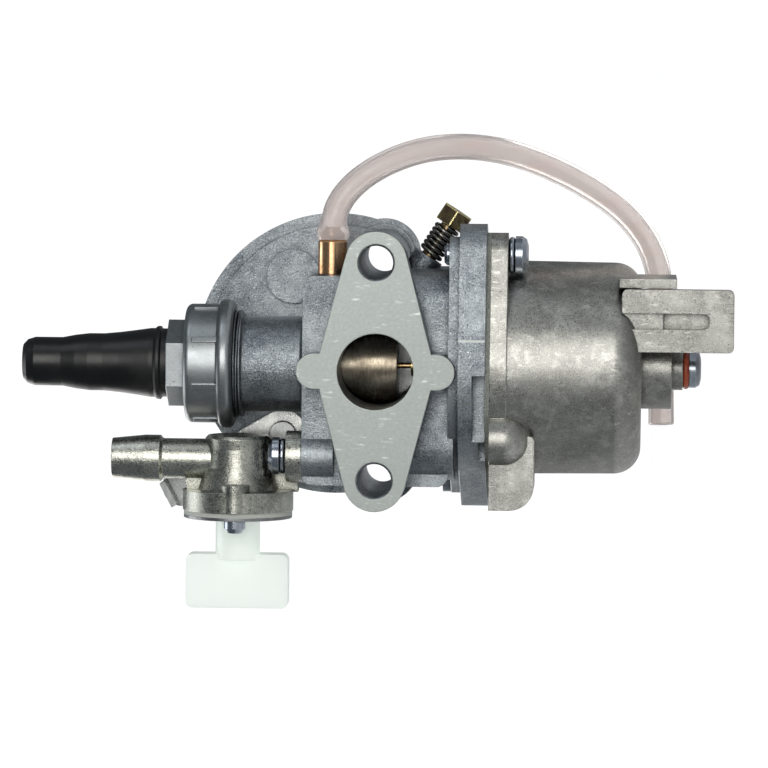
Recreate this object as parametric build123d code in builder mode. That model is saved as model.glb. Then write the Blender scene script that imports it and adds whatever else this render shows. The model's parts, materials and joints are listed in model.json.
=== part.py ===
from build123d import *
import math
import os

# Slide carburetor of a small garden engine, in millimetres.
# Origin: centre of the bore in the engine flange's face. +Z is up, towards the throttle cap.
# -Y points at the engine and +Y at the air cleaner. The vent hose is on the +X side.

os.makedirs("parts", exist_ok=True)

# ---- Driving dimensions: air path and engine flange ----
bore_r = 7.0
body_depth = 35.4            # engine face to air-cleaner face
bolt_spacing = 40.0
bolt_hole_r = 3.1
flange_thickness = 6.0
flange_centre_r = 10.7
flange_end_r = 5.7
ear_r = 3.25
ear_reach = 11.3             # from the bore axis to the centre of each ear
bolt_boss_r = 5.0

# ---- Throttle slide and barrel ----
slide_y = 20.0               # slide axis, behind the engine face
slide_r = 7.55
running_clearance = 0.05
slide_bottom = -3.4          # the slide's lower edge, held at idle
slide_height = 17.4
slide_wall = 1.2
slide_floor = 3.0
cutaway_rise = 2.2
idle_groove_depth = 1.1
barrel_r = 8.9
neck_r = 9.95
neck_bottom = 25.4
neck_top = 33.3
neck_thread_pitch = 1.0
block_top = 14.0

# ---- Top cap, adjuster and boot ----
cap_bottom = 27.1
cap_bead_r = 12.0
cap_bead_height = 3.0
cap_r = 11.1
cap_top = 36.2
cap_roof = 2.1
cap_rib_count = 8
cap_rib_width = 1.0
cap_rib_height = 0.35
cap_hex_flats = 14.0
cap_hex_height = 3.4
cap_rounding = 1.2
thread_clearance = 0.05
adjuster_r = 3.5
adjuster_bore_r = 1.3
adjuster_bottom = 35.0
adjuster_top = 50.0
cable_socket_depth = 5.0
locknut_flats = 9.4
locknut_height = 2.5
boot_lip_r = 6.85
boot_r = 5.35
boot_tip_r = 4.55
boot_top = 66.8
boot_nut_r = 5.6
cable_entry_r = 2.5

# ---- Body block, disc and float-chamber roof ----
disc_thickness = 3.0
disc_r = 26.5
disc_x = 1.3
disc_z = 9.0
disc_rim_width = 2.2
disc_rim_step = 0.6
disc_lowest = -6.0           # the disc is cut off here, above the float chamber
disc_lobe_r = 6.9
pad_r = 5.1
pad_x = 15.8
pad_z = 17.1
pad_height = 0.7
block_left = 17.0            # +X face of the block
block_right = -21.8
block_front = 9.5
roof_z = -13.2
flange_r = 20.8              # float-chamber flange, round the bowl
flange_screw_r = 5.7         # and round each bowl screw
flange_notch_depth = 4.5
notch_left = -0.5            # wide step in the flange's front edge
notch_right = -13.0
notch_top = -17.7
slot_right = -19.0           # deeper slot beside it
slot_top = -18.9
slot_extra = 4.0
upper_flange_thickness = 5.0
lip_thickness = 1.9
lip_inset = 2.4
shoulder_left = 18.3         # float-chamber roof above its flange
shoulder_right = -20.7
shoulder_front = 6.5
shoulder_back = 35.0
shoulder_corner_r = 7.0
shoulder_top = -5.6
stub_r = 3.1                 # blind casting stubs: over the back screw, and round the nipple
stub_height = 1.6
nipple_boss_r = 3.3

# ---- Float bowl ----
gasket_thickness = 0.8
bowl_r = 19.6
bowl_draft = 0.3
bowl_wall = 2.1
bowl_bottom = -48.7
bowl_floor = 2.5
bowl_flange_thickness = 3.1
bowl_flange_inset = 0.7
bowl_flange_screw_r = 4.1
bowl_edge_r = 5.0
bowl_screw_x = 21.3
bowl_screw_front = 9.4
screw_r = 2.0
screw_head_r = 3.5
screw_head_height = 2.4
washer_height = 1.3
washer_gap = 0.6
lobe_r = 4.9
lobe_x = -12.6
lobe_y = 4.2
lobe_bottom = -28.6
lug_x = -25.3
tab_left = 15.5
tab_right = 4.0
tab_bottom = -65.5
tab_front = 3.4
tab_thickness = 3.4
tab_slot_left = 11.1
tab_slot_right = 8.2
tab_slot_bottom = -61.0
tab_top = -45.0
rib_end = -62.0              # the web behind the slot gets deeper towards the bowl
web_end = -56.5
rib_start = -43.5
shelf_left = 17.4
shelf_right = 15.7
shelf_back = 23.0
shelf_end = -55.0
drain_boss_r = 7.5
drain_boss_height = 5.6      # below the bowl
drain_neck_r = 3.95
drain_neck_height = 2.1
drain_ring_r = 0.6
drain_head_height = 2.2

# ---- Float and jets ----
hinge_x = -14.6
hinge_z = -23.0
hinge_pin_r = 0.8
post_gap = 7.2
post_width = 1.8
post_half = 1.5
float_r = 14.4
float_inner_r = 6.2
hinge_eye_r = 1.6
arm_end = -8.0
float_top = -29.0
float_bottom = -39.0
valve_x = -10.4
valve_r = 1.5
valve_bottom = -23.25
seat_r = 2.6
seat_top = -15.0
seat_bottom = -21.0
seat_bore_r = 1.6
orifice_r = 0.6
float_swing = 6.0            # degrees from hanging to shut
needle_r = 0.6
needle_tip_r = 0.32
needle_bottom = -22.0
needle_groove_depth = 0.15
clip_thickness = 0.5
clip_r = 2.2
spring_wire_r = 0.45         # throttle spring
spring_gap = 0.6             # between the throttle spring and the slide's wall
spring_turns = 9
cone_base = -16.9            # widest part of the float valve's seat cone
shut_gap = 0.03
main_jet_bore_r = 0.5
pilot_jet_bore_r = 0.3
jet_tube_r = 3.0
jet_nozzle_r = 1.9
jet_bore_r = 0.85
jet_top = -5.8
column_r = 4.0
column_bottom = -29.0
jet_hex_flats = 6.0
jet_hex_height = 3.2
pilot_r = 1.6
pilot_x = 8.0
pilot_y = 26.0
pilot_depth = 4.0
pilot_bottom = -25.0

# ---- Vent nipple and hose ----
nipple_y = 17.0
nipple_z = 8.9
nipple_r = 2.7
nipple_collar = 23.5
nipple_bulge_r = 3.05
nipple_end = 25.8
nipple_sunk = 3.3
nipple_slack = 0.05
nipple_bore_r = 1.0
hose_r = 2.4
hose_bore_r = 1.5

# ---- Idle-speed screw ----
idle_head = (28.95, slide_y, -14.4)    # centre of the head's outer face
idle_direction = (-0.838, 0.0, 0.545)
idle_screw_r = 1.5
idle_screw_length = 26.2
idle_head_flats = 5.6
idle_head_height = 3.2
idle_spring_r = 2.25
idle_spring_wire_r = 0.32
idle_spring_length = 6.9
idle_spring_turns = 6
idle_boss_r = 2.9

# ---- Petcock ----
petcock_y = 16.0
petcock_z = 26.1
pipe_x = -17.6
pipe_end = 49.6
barb_land_start = 40.6
barb_land_end = 43.4
barb_r = 4.35
barb_tip_r = 3.7
pipe_r = 3.75
pipe_bore_r = 2.0
petcock_top = -13.1
petcock_top_r = 6.15
petcock_waist_r = 6.0
petcock_foot_r = 7.4
petcock_foot = -23.2
base_bottom = -27.0
base_r = 10.3
gasket_plate = 0.8
retainer_plate = 0.6
wave_height = 0.8
knob_stem_r = 4.15
knob_disc_r = 6.0
knob_bar_top = -35.2
knob_bar_bottom = -45.3
knob_bar_half = 9.55
knob_bar_thickness = 4.4
cover_screw_r = 1.25
cover_screw_offset = 8.0
cover_head_r = 2.0
cover_head_height = 2.6
mount_ear_r = 4.7
mount_ear_thickness = 2.9
mount_screw_x = -16.6
mount_screw_y = 12.6
outlet_y = 21.6
outlet_r = 2.6
outlet_bore_r = 1.3
mount_screw_length = 7.5
seal_thickness = 1.6
passage_r = 1.3              # holes through the seal and into its seat
inlet_rise = 3.2
outlet_side = 2.6
outlet_drop = 1.0
ring_seat_r = 2.5            # O-ring under the ear
ring_seat_depth = 0.8
ring_wire_r = 0.4
mount_head_height = 2.2
web_width = 2.6

# ---- Choke ----
choke_x = -14.0
choke_z = 18.8
choke_pin_r = 1.6
lever_thickness = 1.2
lever_reach = 21.5
lever_angle = 118.0          # degrees from +X towards +Z
lever_pivot_r = 4.6
lever_end_r = 3.8
lever_tab_width = 5.0
lever_tab_reach = 4.4
shutter_r = 8.6              # it covers the bore, as drawn
shutter_thickness = 1.0
face_gap = 0.1

# ---- Worked out from the driving dimensions ----
disc_front = body_depth - disc_thickness
flange_bottom = roof_z - lip_thickness - upper_flange_thickness
bowl_top = flange_bottom - gasket_thickness
bowl_flange_bottom = bowl_top - bowl_flange_thickness
bowl_screw_back = 2 * slide_y - bowl_screw_front
drain_boss_bottom = bowl_bottom - drain_boss_height
hollow_shoulder = bowl_bottom + 6.2    # the bowl's inside narrows below here
spring_coil_r = slide_r - slide_wall - spring_wire_r - spring_gap
slide_top = slide_bottom + slide_height
cap_ceiling = cap_top - cap_roof
hex_top = cap_top + cap_hex_height
slide_bore_r = slide_r + running_clearance
bolt_places = [(bolt_spacing / 2, 0), (-bolt_spacing / 2, 0)]
bowl_screw_places = [(bowl_screw_x, bowl_screw_front), (-bowl_screw_x, bowl_screw_back)]
idle_axis = Vector(*idle_direction).normalized()
idle_neck = Vector(*idle_head) + idle_axis * idle_head_height
idle_foot = idle_neck + idle_axis * idle_spring_length
idle_tip = Vector(*idle_head) + idle_axis * idle_screw_length


def unit(direction):
    """The direction as a vector of length one."""
    return Vector(*direction).normalized()


def side_of(direction):
    """A unit vector square to a direction that lies along an axis or in the XZ plane."""
    along = unit(direction)
    return Vector(1, 0, 0) if abs(along.Y) > 0.9 else Vector(0, 1, 0)


def turned(profile, origin, direction, mode=Mode.ADD):
    """Revolves (radius, height) points about the axis through origin, inside the current part."""
    side = side_of(direction)
    plane = Plane(origin=origin, x_dir=side, z_dir=side.cross(unit(direction)))
    with BuildSketch(plane) as section:
        with BuildLine():
            Polyline(*profile, close=True)
        make_face()
    revolve(section.sketch, axis=Axis(origin, direction), mode=mode)


def rod(radius, start, finish, mode=Mode.ADD):
    """A cylinder between two points, inside the current part."""
    line = Vector(*finish) - Vector(*start)
    with BuildSketch(Plane(origin=start, x_dir=side_of(line), z_dir=line.normalized())) as end:
        Circle(radius)
    extrude(end.sketch, amount=line.length, mode=mode)


def block(low, high, mode=Mode.ADD):
    """A box between two opposite corners, inside the current part."""
    size = [b - a for a, b in zip(low, high)]
    with Locations(tuple((a + b) / 2 for a, b in zip(low, high))):
        Box(*size, mode=mode)


def hexagon(flats, origin, direction, height, mode=Mode.ADD):
    """A hexagonal prism that starts at origin, inside the current part."""
    with BuildSketch(Plane(origin=origin, x_dir=side_of(direction), z_dir=unit(direction))) as face:
        RegularPolygon(flats / 2, 6, major_radius=False)
    extrude(face.sketch, amount=height, mode=mode)


def coil(radius, wire_r, length, turns, origin, direction):
    """A round-wire spring along an axis, inside the current part."""
    along = unit(direction)
    start = Vector(*origin) + along * wire_r
    rise = length - 2 * wire_r
    with BuildLine() as path:
        Helix(rise / turns, rise, radius, center=start, direction=along)
    with BuildSketch(Plane(origin=path.line @ 0, z_dir=path.line % 0)) as wire:
        Circle(wire_r)
    sweep(wire.sketch, path=path.line, is_frenet=True)


def write(part, name):
    """Labels a finished piece and writes its STEP file."""
    part.label = name
    export_step(part, f"parts/{name}.step")


def chamber_flange(height, thickness, inset, screw_end_r):
    """Adds a plate round the bowl and its two screws, inside the current part."""
    with BuildSketch(Plane.XY.offset(height)) as outline:
        with Locations((0, slide_y)):
            Circle(flange_r - inset)
        with Locations(*bowl_screw_places):
            Circle(screw_end_r)
        make_hull()
    extrude(outline.sketch, amount=thickness)


def rims(part, radius, height):
    """The circular edges of a part that have this radius and lie at this height."""
    circles = part.edges().filter_by(GeomType.CIRCLE)
    return circles.filter_by(
        lambda edge: abs(edge.radius - radius) < 0.01 and abs(edge.arc_center.Z - height) < 0.01
    )


# ---- Carburetor body: one casting ----
with BuildPart() as body:
    # Engine flange: a round centre, two bolt ends and two locating ears.
    with BuildSketch(Plane.XZ) as flange_face:
        Circle(flange_centre_r)
        with Locations(*bolt_places):
            Circle(flange_end_r)
        make_hull()
        with Locations((0, ear_reach), (0, -ear_reach)):
            Circle(ear_r)
        Rectangle(2 * ear_r, 2 * ear_reach)
    extrude(amount=-flange_thickness)
    # Relief behind the flange, then the full-length bolt bosses.
    with BuildSketch(Plane.XZ.offset(-flange_thickness)) as relief:
        Circle(flange_centre_r - 1.4)
        with Locations(*bolt_places):
            Circle(bolt_boss_r - 0.5)
        make_hull()
    extrude(amount=-(block_front - flange_thickness + 0.5))
    for x, z in bolt_places:
        rod(bolt_boss_r, (x, flange_thickness - 0.5, z), (x, disc_front + 0.3, z))
    # Central block between the flange and the disc.
    with BuildSketch(Plane.XZ.offset(-block_front)) as block_face:
        with Locations(((block_left + block_right) / 2, (block_top + roof_z) / 2)):
            RectangleRounded(block_left - block_right, block_top - roof_z, 2.2)
    extrude(amount=-(disc_front - block_front))
    # Throttle barrel and thread neck.
    turned(
        [
            (0, roof_z), (barrel_r + 1.6, roof_z), (barrel_r + 1.6, block_top - 0.8),
            (barrel_r, block_top + 0.6), (barrel_r, neck_bottom), (0, neck_bottom),
        ],
        (0, slide_y, 0), (0, 0, 1),
    )
    thread_turns = int((neck_top - neck_bottom) / neck_thread_pitch)
    thread = [(0, neck_bottom), (neck_r - 0.5, neck_bottom)]
    for turn in range(thread_turns):
        foot = neck_bottom + turn * neck_thread_pitch
        thread += [(neck_r, foot + 0.35), (neck_r, foot + 0.55), (neck_r - 0.5, foot + 0.95)]
    thread += [(neck_r - 0.5, neck_top), (0, neck_top)]
    turned(thread, (0, slide_y, 0), (0, 0, 1))
    # Air-cleaner disc: raised face, lower rim band, a lobe round each bolt, a round pad.
    with BuildSketch(Plane.XZ.offset(-disc_front - disc_rim_step)) as disc:
        with Locations((disc_x, disc_z)):
            Circle(disc_r)
        with Locations((0, disc_lowest - 50)):
            Rectangle(100, 100, mode=Mode.SUBTRACT)
        with Locations(*bolt_places):
            Circle(disc_lobe_r)
    extrude(amount=-(disc_thickness - disc_rim_step))
    with BuildSketch(Plane.XZ.offset(-disc_front)) as disc_face:
        with Locations((disc_x, disc_z)):
            Circle(disc_r - disc_rim_width)
        with Locations((0, disc_lowest - 50)):
            Rectangle(100, 100, mode=Mode.SUBTRACT)
        with Locations(*bolt_places):
            Circle(disc_lobe_r - 1.0)
    extrude(amount=-disc_thickness)
    with BuildSketch(Plane.XZ.offset(-disc_front + pad_height)) as pad:
        with Locations((pad_x, pad_z)):
            Circle(pad_r)
    extrude(amount=-pad_height - 0.5)
    # Choke pivot boss on the disc's front.
    rod(choke_pin_r + 1.8, (choke_x, disc_front - 0.4, choke_z), (choke_x, body_depth, choke_z))
    # Float-chamber roof and flange.
    chamber_flange(roof_z - lip_thickness, lip_thickness, lip_inset, flange_screw_r - lip_inset)
    with BuildSketch(Plane.XY.offset(roof_z - 1)) as shoulder:
        with Locations(((shoulder_left + shoulder_right) / 2, (shoulder_front + shoulder_back) / 2)):
            RectangleRounded(
                shoulder_left - shoulder_right, shoulder_back - shoulder_front, shoulder_corner_r,
            )
    extrude(amount=shoulder_top - roof_z + 1)
    chamber_flange(flange_bottom, upper_flange_thickness, 0, flange_screw_r)
    # Step and slot in the front edge of the flange, on the -X side.
    notch_front = slide_y - flange_r - 1
    notch_back = slide_y - flange_r + flange_notch_depth
    block((notch_right, notch_front, flange_bottom - 1), (notch_left, notch_back, notch_top), Mode.SUBTRACT)
    block(
        (slot_right, notch_front, flange_bottom - 1), (notch_right, notch_back + slot_extra, slot_top),
        Mode.SUBTRACT,
    )
    # Blind casting stub over the back screw's corner.
    rod(
        stub_r, (-bowl_screw_x, bowl_screw_back, roof_z - 1),
        (-bowl_screw_x, bowl_screw_back, roof_z + stub_height),
    )
    # Vent nipple boss, and idle screw boss.
    rod(nipple_boss_r, (block_left - 4, nipple_y, nipple_z), (block_left + 0.1, nipple_y, nipple_z))
    rod(idle_boss_r, tuple(idle_foot), tuple(idle_foot + idle_axis * 8))
    # Boss for the petcock's ear.
    rod(mount_ear_r, (mount_screw_x, mount_screw_y, block_top - 6), (mount_screw_x, mount_screw_y, block_top))
    # Float hinge posts and the central jet column.
    rod(column_r, (0, slide_y, flange_bottom + 1), (0, slide_y, column_bottom))
    for side in (-1, 1):
        near = slide_y + side * post_gap / 2
        far = slide_y + side * (post_gap / 2 + post_width)
        block(
            (hinge_x - post_half, min(near, far), hinge_z - post_half),
            (hinge_x + post_half, max(near, far), flange_bottom + 1),
        )
    # Bore, slide bore and chamber hollow.
    rod(bore_r, (0, -1, 0), (0, body_depth + 1, 0), Mode.SUBTRACT)
    turned(
        [(0, -bore_r - 0.6), (slide_bore_r, -bore_r - 0.6), (slide_bore_r, neck_top + 1), (0, neck_top + 1)],
        (0, slide_y, 0), (0, 0, 1), Mode.SUBTRACT,
    )
    for x, z in bolt_places:
        rod(bolt_hole_r, (x, -1, z), (x, body_depth + 1, z), Mode.SUBTRACT)
    # Countersunk mouths of the bolt holes.
    for x, z in bolt_places:
        turned(
            [(0, -0.1), (bolt_hole_r + 0.45, -0.1), (bolt_hole_r, 0.35), (0, 0.35)],
            (x, 0, z), (0, 1, 0), Mode.SUBTRACT,
        )
    # Holes for the pieces that are pressed or screwed in.
    rod(jet_tube_r, (0, slide_y, column_bottom - 1), (0, slide_y, -bore_r - 2), Mode.SUBTRACT)
    rod(jet_nozzle_r, (0, slide_y, column_bottom), (0, slide_y, 0), Mode.SUBTRACT)
    rod(
        nipple_r - 0.6, (block_left - 3.4, nipple_y, nipple_z), (block_left + 1, nipple_y, nipple_z),
        Mode.SUBTRACT,
    )
    rod(idle_screw_r + running_clearance, tuple(idle_foot), tuple(idle_tip + idle_axis * 2), Mode.SUBTRACT)
    rod(hinge_pin_r, (hinge_x, slide_y - 8, hinge_z), (hinge_x, slide_y + 8, hinge_z), Mode.SUBTRACT)
    rod(seat_r, (valve_x, slide_y, flange_bottom - 1), (valve_x, slide_y, seat_top), Mode.SUBTRACT)
    rod(outlet_bore_r, (pipe_x, outlet_y, block_top + 1), (pipe_x, outlet_y, block_top - 2), Mode.SUBTRACT)
    rod(outlet_bore_r - 0.3, (pipe_x, outlet_y, block_top - 1.6), (valve_x, slide_y, seat_top), Mode.SUBTRACT)
    rod(
        screw_r + thread_clearance, (mount_screw_x, mount_screw_y, block_top + 1),
        (mount_screw_x, mount_screw_y, block_top - mount_screw_length), Mode.SUBTRACT,
    )
    rod(
        pilot_r, (pilot_x, pilot_y, flange_bottom - 1), (pilot_x, pilot_y, flange_bottom + pilot_depth),
        Mode.SUBTRACT,
    )
    rod(
        choke_pin_r + running_clearance, (choke_x, disc_front - 5, choke_z),
        (choke_x, body_depth + 5, choke_z),
        Mode.SUBTRACT,
    )
    for x, y in bowl_screw_places:
        rod(screw_r + thread_clearance, (x, y, flange_bottom - 1), (x, y, roof_z + 8), Mode.SUBTRACT)
write(body.part, "carburetor_body")

# ---- Bowl gasket ----
with BuildPart() as bowl_gasket:
    chamber_flange(bowl_top, gasket_thickness, bowl_flange_inset, bowl_flange_screw_r)
    rod(bowl_r - bowl_wall, (0, slide_y, bowl_top - 1), (0, slide_y, flange_bottom + 1), Mode.SUBTRACT)
    for x, y in bowl_screw_places:
        rod(screw_r + 0.1, (x, y, bowl_top - 1), (x, y, flange_bottom + 1), Mode.SUBTRACT)
write(bowl_gasket.part, "bowl_gasket")

# ---- Float bowl: flange, cup, lobe, hose lug, slotted tab and drain boss ----
with BuildPart() as bowl:
    turned(
        [
            (0, bowl_top), (bowl_r + bowl_draft, bowl_top), (bowl_r, bowl_bottom), (0, bowl_bottom),
        ],
        (0, slide_y, 0), (0, 0, 1),
    )
    fillet(rims(bowl, bowl_r, bowl_bottom), bowl_edge_r)
    chamber_flange(bowl_flange_bottom, bowl_flange_thickness, bowl_flange_inset, bowl_flange_screw_r)
    # Lobe with a ball end, and the squared shoulder beside it.
    rod(lobe_r, (lobe_x, lobe_y, bowl_top), (lobe_x, lobe_y, lobe_bottom + lobe_r))
    with Locations((lobe_x, lobe_y, lobe_bottom + lobe_r)):
        Sphere(lobe_r, arc_size2=0, align=(Align.NONE, Align.NONE, Align.NONE))
    with BuildSketch(Plane.XZ.offset(-lobe_y + 2.4)) as shoulder_face:
        with BuildLine():
            FilletPolyline(
                (lobe_x + 1, bowl_top), (lobe_x + 1, lobe_bottom - 0.6), (lug_x, lobe_bottom - 0.6),
                (lug_x, bowl_top), radius=[1.0, 4.5], close=False,
            )
            Line((lug_x, bowl_top), (lobe_x + 1, bowl_top))
        make_face()
    extrude(amount=-10.5)
    # Slotted tab, its stiffening rib and the web behind it.
    with BuildSketch(Plane.XZ.offset(-tab_front)) as tab_face:
        with Locations(((tab_left + tab_right) / 2, (tab_bottom + tab_top) / 2)):
            RectangleRounded(tab_left - tab_right, tab_top - tab_bottom, 1.0)
        with Locations(((tab_slot_left + tab_slot_right) / 2, (tab_slot_bottom + tab_top + 5) / 2)):
            RectangleRounded(
                tab_slot_left - tab_slot_right, tab_top + 5 - tab_slot_bottom, 1.0, mode=Mode.SUBTRACT,
            )
    extrude(amount=-tab_thickness)
    rib_back = tab_front + 6
    for start, end, back in [(0.6, web_end + 3.9, rib_back), (2.0, rib_end, rib_back), (3.0, web_end, slide_y)]:
        block((tab_slot_right, tab_front + start, end), (tab_slot_left, back, rib_start - start))
    # Shelf in front of the hose, and the drain boss with its neck.
    block((shelf_right, tab_front + 1, shelf_end), (shelf_left, shelf_back, rib_start - 1))
    rod(drain_boss_r, (0, slide_y, bowl_bottom + 1), (0, slide_y, drain_boss_bottom))
    rod(
        drain_neck_r, (0, slide_y, drain_boss_bottom + 1), (0, slide_y, drain_boss_bottom - drain_neck_height),
    )
    # Hollow, drain hole and screw holes.
    turned(
        [
            (0, bowl_top + 1), (bowl_r - bowl_wall, bowl_top + 1), (bowl_r - bowl_wall, hollow_shoulder),
            (bowl_r - bowl_wall - 1.2, hollow_shoulder - 2.4),
            (bowl_r - bowl_wall - 3.6, bowl_bottom + bowl_floor),
            (0, bowl_bottom + bowl_floor),
        ],
        (0, slide_y, 0), (0, 0, 1), Mode.SUBTRACT,
    )
    rod(
        screw_r + thread_clearance, (0, slide_y, drain_boss_bottom - 5),
        (0, slide_y, bowl_bottom + bowl_floor + 1),
        Mode.SUBTRACT,
    )
    for x, y in bowl_screw_places:
        rod(screw_r + 0.1, (x, y, bowl_flange_bottom - 12), (x, y, bowl_top + 1), Mode.SUBTRACT)
write(bowl.part, "float_bowl")


def pan_head_screw(place, direction, head_r, head_height, shank_r, shank_length):
    """A pan-head screw whose head stands on place and whose shank points along direction."""
    head_round = head_height * 0.45
    turned(
        [
            (0, -head_height), (head_r - head_round * 1.6, -head_height),
            (head_r - head_round * 0.5, -head_height + head_round * 0.3),
            (head_r, -head_height + head_round), (head_r, 0), (shank_r, 0), (shank_r, shank_length - 0.5),
            (shank_r - 0.5, shank_length), (0, shank_length),
        ],
        place, direction,
    )
    # Cross recess in the head.
    along = unit(direction)
    top = Vector(*place) - along * head_height
    for width, length in [(head_r * 0.25, head_r * 1.1), (head_r * 1.1, head_r * 0.25)]:
        with BuildSketch(Plane(origin=tuple(top), x_dir=side_of(direction), z_dir=along)) as recess:
            Rectangle(width, length)
        extrude(recess.sketch, amount=head_height * 0.5, mode=Mode.SUBTRACT)


def split_washer(place, direction, inner_r, outer_r, height):
    """A spring washer with a gap, standing on place."""
    along = unit(direction)
    with BuildSketch(Plane(origin=place, x_dir=side_of(direction), z_dir=along)) as ring:
        Circle(outer_r)
        Circle(inner_r, mode=Mode.SUBTRACT)
        with Locations((outer_r, 0)):
            Rectangle(2 * outer_r - inner_r, washer_gap, mode=Mode.SUBTRACT)
    extrude(ring.sketch, amount=height)


head_seat = bowl_flange_bottom - washer_height

with BuildPart() as bowl_screws:
    for x, y in bowl_screw_places:
        shank = roof_z + 1.0 - head_seat
        pan_head_screw((x, y, head_seat), (0, 0, 1), screw_head_r, screw_head_height, screw_r, shank)
write(bowl_screws.part, "bowl_screws")

with BuildPart() as bowl_washers:
    for x, y in bowl_screw_places:
        split_washer(
            (x, y, head_seat), (0, 0, 1), screw_r + 0.1, screw_head_r - 0.1, washer_height,
        )
write(bowl_washers.part, "bowl_screw_washers")

# ---- Drain screw and its ring ----
neck_end = drain_boss_bottom - drain_neck_height
drain_head_seat = neck_end - 2 * drain_ring_r
with BuildPart() as drain_ring:
    ring_middle = (0, slide_y, neck_end - drain_ring_r)
    with BuildSketch(Plane(origin=ring_middle, x_dir=(1, 0, 0), z_dir=(0, -1, 0))) as ring:
        with Locations((drain_neck_r - 0.2 - drain_ring_r, 0)):
            Circle(drain_ring_r)
    revolve(axis=Axis((0, slide_y, 0), (0, 0, 1)))
write(drain_ring.part, "drain_o_ring")

with BuildPart() as drain_screw:
    pan_head_screw(
        (0, slide_y, drain_head_seat), (0, 0, 1), screw_head_r, drain_head_height, screw_r,
        bowl_bottom + bowl_floor - drain_head_seat - 0.6,
    )
write(drain_screw.part, "drain_screw")

# ---- Throttle slide ----
with BuildPart() as slide:
    turned(
        [
            (0, slide_bottom), (slide_r, slide_bottom), (slide_r, slide_top),
            (slide_r - slide_wall, slide_top),
            (slide_r - slide_wall, slide_bottom + slide_floor), (0, slide_bottom + slide_floor),
        ],
        (0, slide_y, 0), (0, 0, 1),
    )
    # Cutaway on the air-cleaner side, needle hole, cable slot, and the idle screw's groove.
    with BuildSketch(Plane.YZ.offset(-slide_r - 1)) as cutaway:
        with BuildLine():
            Polyline(
                (slide_y + 1.0, slide_bottom - 1), (slide_y + 1.0, slide_bottom),
                (slide_y + slide_r + 1, slide_bottom + cutaway_rise),
                (slide_y + slide_r + 1, slide_bottom - 1), close=True,
            )
        make_face()
    extrude(amount=2 * slide_r + 2, mode=Mode.SUBTRACT)
    rod(needle_r + 0.1, (0, slide_y, slide_bottom - 1), (0, slide_y, 1), Mode.SUBTRACT)
    block(
        (-slide_r - 1, slide_y - 0.9, slide_bottom + slide_floor),
        (-slide_r + slide_wall + 1, slide_y + 0.9, slide_top + 1), Mode.SUBTRACT,
    )
    groove_top = idle_tip.Z + 1.6
    block(
        (slide_r - idle_groove_depth, slide_y - 1.7, slide_bottom - 1),
        (slide_r + 1, slide_y + 1.7, groove_top),
        Mode.SUBTRACT,
    )
write(slide.part, "throttle_slide")

floor_top = slide_bottom + slide_floor
groove_r = needle_r - needle_groove_depth
with BuildPart() as needle:
    turned(
        [
            (0, needle_bottom), (needle_tip_r, needle_bottom), (needle_r, slide_bottom + 1.5),
            (needle_r, floor_top),
            (groove_r, floor_top), (groove_r, floor_top + clip_thickness),
            (needle_r, floor_top + clip_thickness),
            (needle_r, floor_top + 3), (0, floor_top + 3),
        ],
        (0, slide_y, 0), (0, 0, 1),
    )
write(needle.part, "jet_needle")

with BuildPart() as clip:
    rod(clip_r, (0, slide_y, floor_top), (0, slide_y, floor_top + clip_thickness))
    rod(groove_r, (0, slide_y, floor_top - 1), (0, slide_y, floor_top + 1), Mode.SUBTRACT)
    block((-groove_r, slide_y, floor_top - 1), (groove_r, slide_y + 3, floor_top + 1), Mode.SUBTRACT)
write(clip.part, "needle_clip")

with BuildPart() as spring:
    coil(
        spring_coil_r, spring_wire_r, cap_ceiling - floor_top, spring_turns,
        (0, slide_y, floor_top), (0, 0, 1),
    )
write(spring.part, "throttle_spring")

# ---- Top cap: bead, ribbed ring, roof and hex in one piece ----
with BuildPart() as cap:
    rod(cap_bead_r, (0, slide_y, cap_bottom), (0, slide_y, cap_bottom + cap_bead_height))
    for height in (cap_bottom, cap_bottom + cap_bead_height):
        fillet(rims(cap, cap_bead_r, height), cap_rounding)
    rod(cap_r, (0, slide_y, cap_bottom), (0, slide_y, cap_top))
    fillet(rims(cap, cap_r, cap_top), cap_rounding)
    with BuildSketch(Plane.XY.offset(cap_bottom + cap_bead_height - 0.5)) as rib_ring:
        with Locations((0, slide_y)):
            with PolarLocations(cap_r, cap_rib_count, start_angle=-19):
                Rectangle(2 * cap_rib_height, cap_rib_width)
    extrude(amount=cap_top - cap_bottom - cap_bead_height - 1.2)
    with BuildSketch(Plane.XY.offset(cap_top - 0.5)) as hex_face:
        with Locations((0, slide_y)):
            RegularPolygon(cap_hex_flats / 2, 6, major_radius=False)
    extrude(amount=cap_hex_height + 0.5)
    rod(neck_r + thread_clearance, (0, slide_y, cap_bottom - 1), (0, slide_y, cap_ceiling), Mode.SUBTRACT)
    rod(adjuster_r + thread_clearance, (0, slide_y, cap_bottom), (0, slide_y, hex_top + 1), Mode.SUBTRACT)
write(cap.part, "top_cap")

with BuildPart() as cap_gasket:
    rod(neck_r - 0.1, (0, slide_y, neck_top), (0, slide_y, cap_ceiling))
    rod(slide_bore_r, (0, slide_y, neck_top - 1), (0, slide_y, cap_ceiling + 1), Mode.SUBTRACT)
write(cap_gasket.part, "cap_gasket")

# ---- Cable adjuster, locknut and boot ----
with BuildPart() as adjuster:
    turned(
        [
            (adjuster_bore_r, adjuster_bottom), (adjuster_r, adjuster_bottom),
            (adjuster_r, adjuster_top - 0.4),
            (adjuster_r - 0.4, adjuster_top),
            (cable_entry_r, adjuster_top), (cable_entry_r, adjuster_top - cable_socket_depth),
            (adjuster_bore_r, adjuster_top - cable_socket_depth - 0.6),
        ],
        (0, slide_y, 0), (0, 0, 1),
    )
write(adjuster.part, "cable_adjuster")

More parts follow.
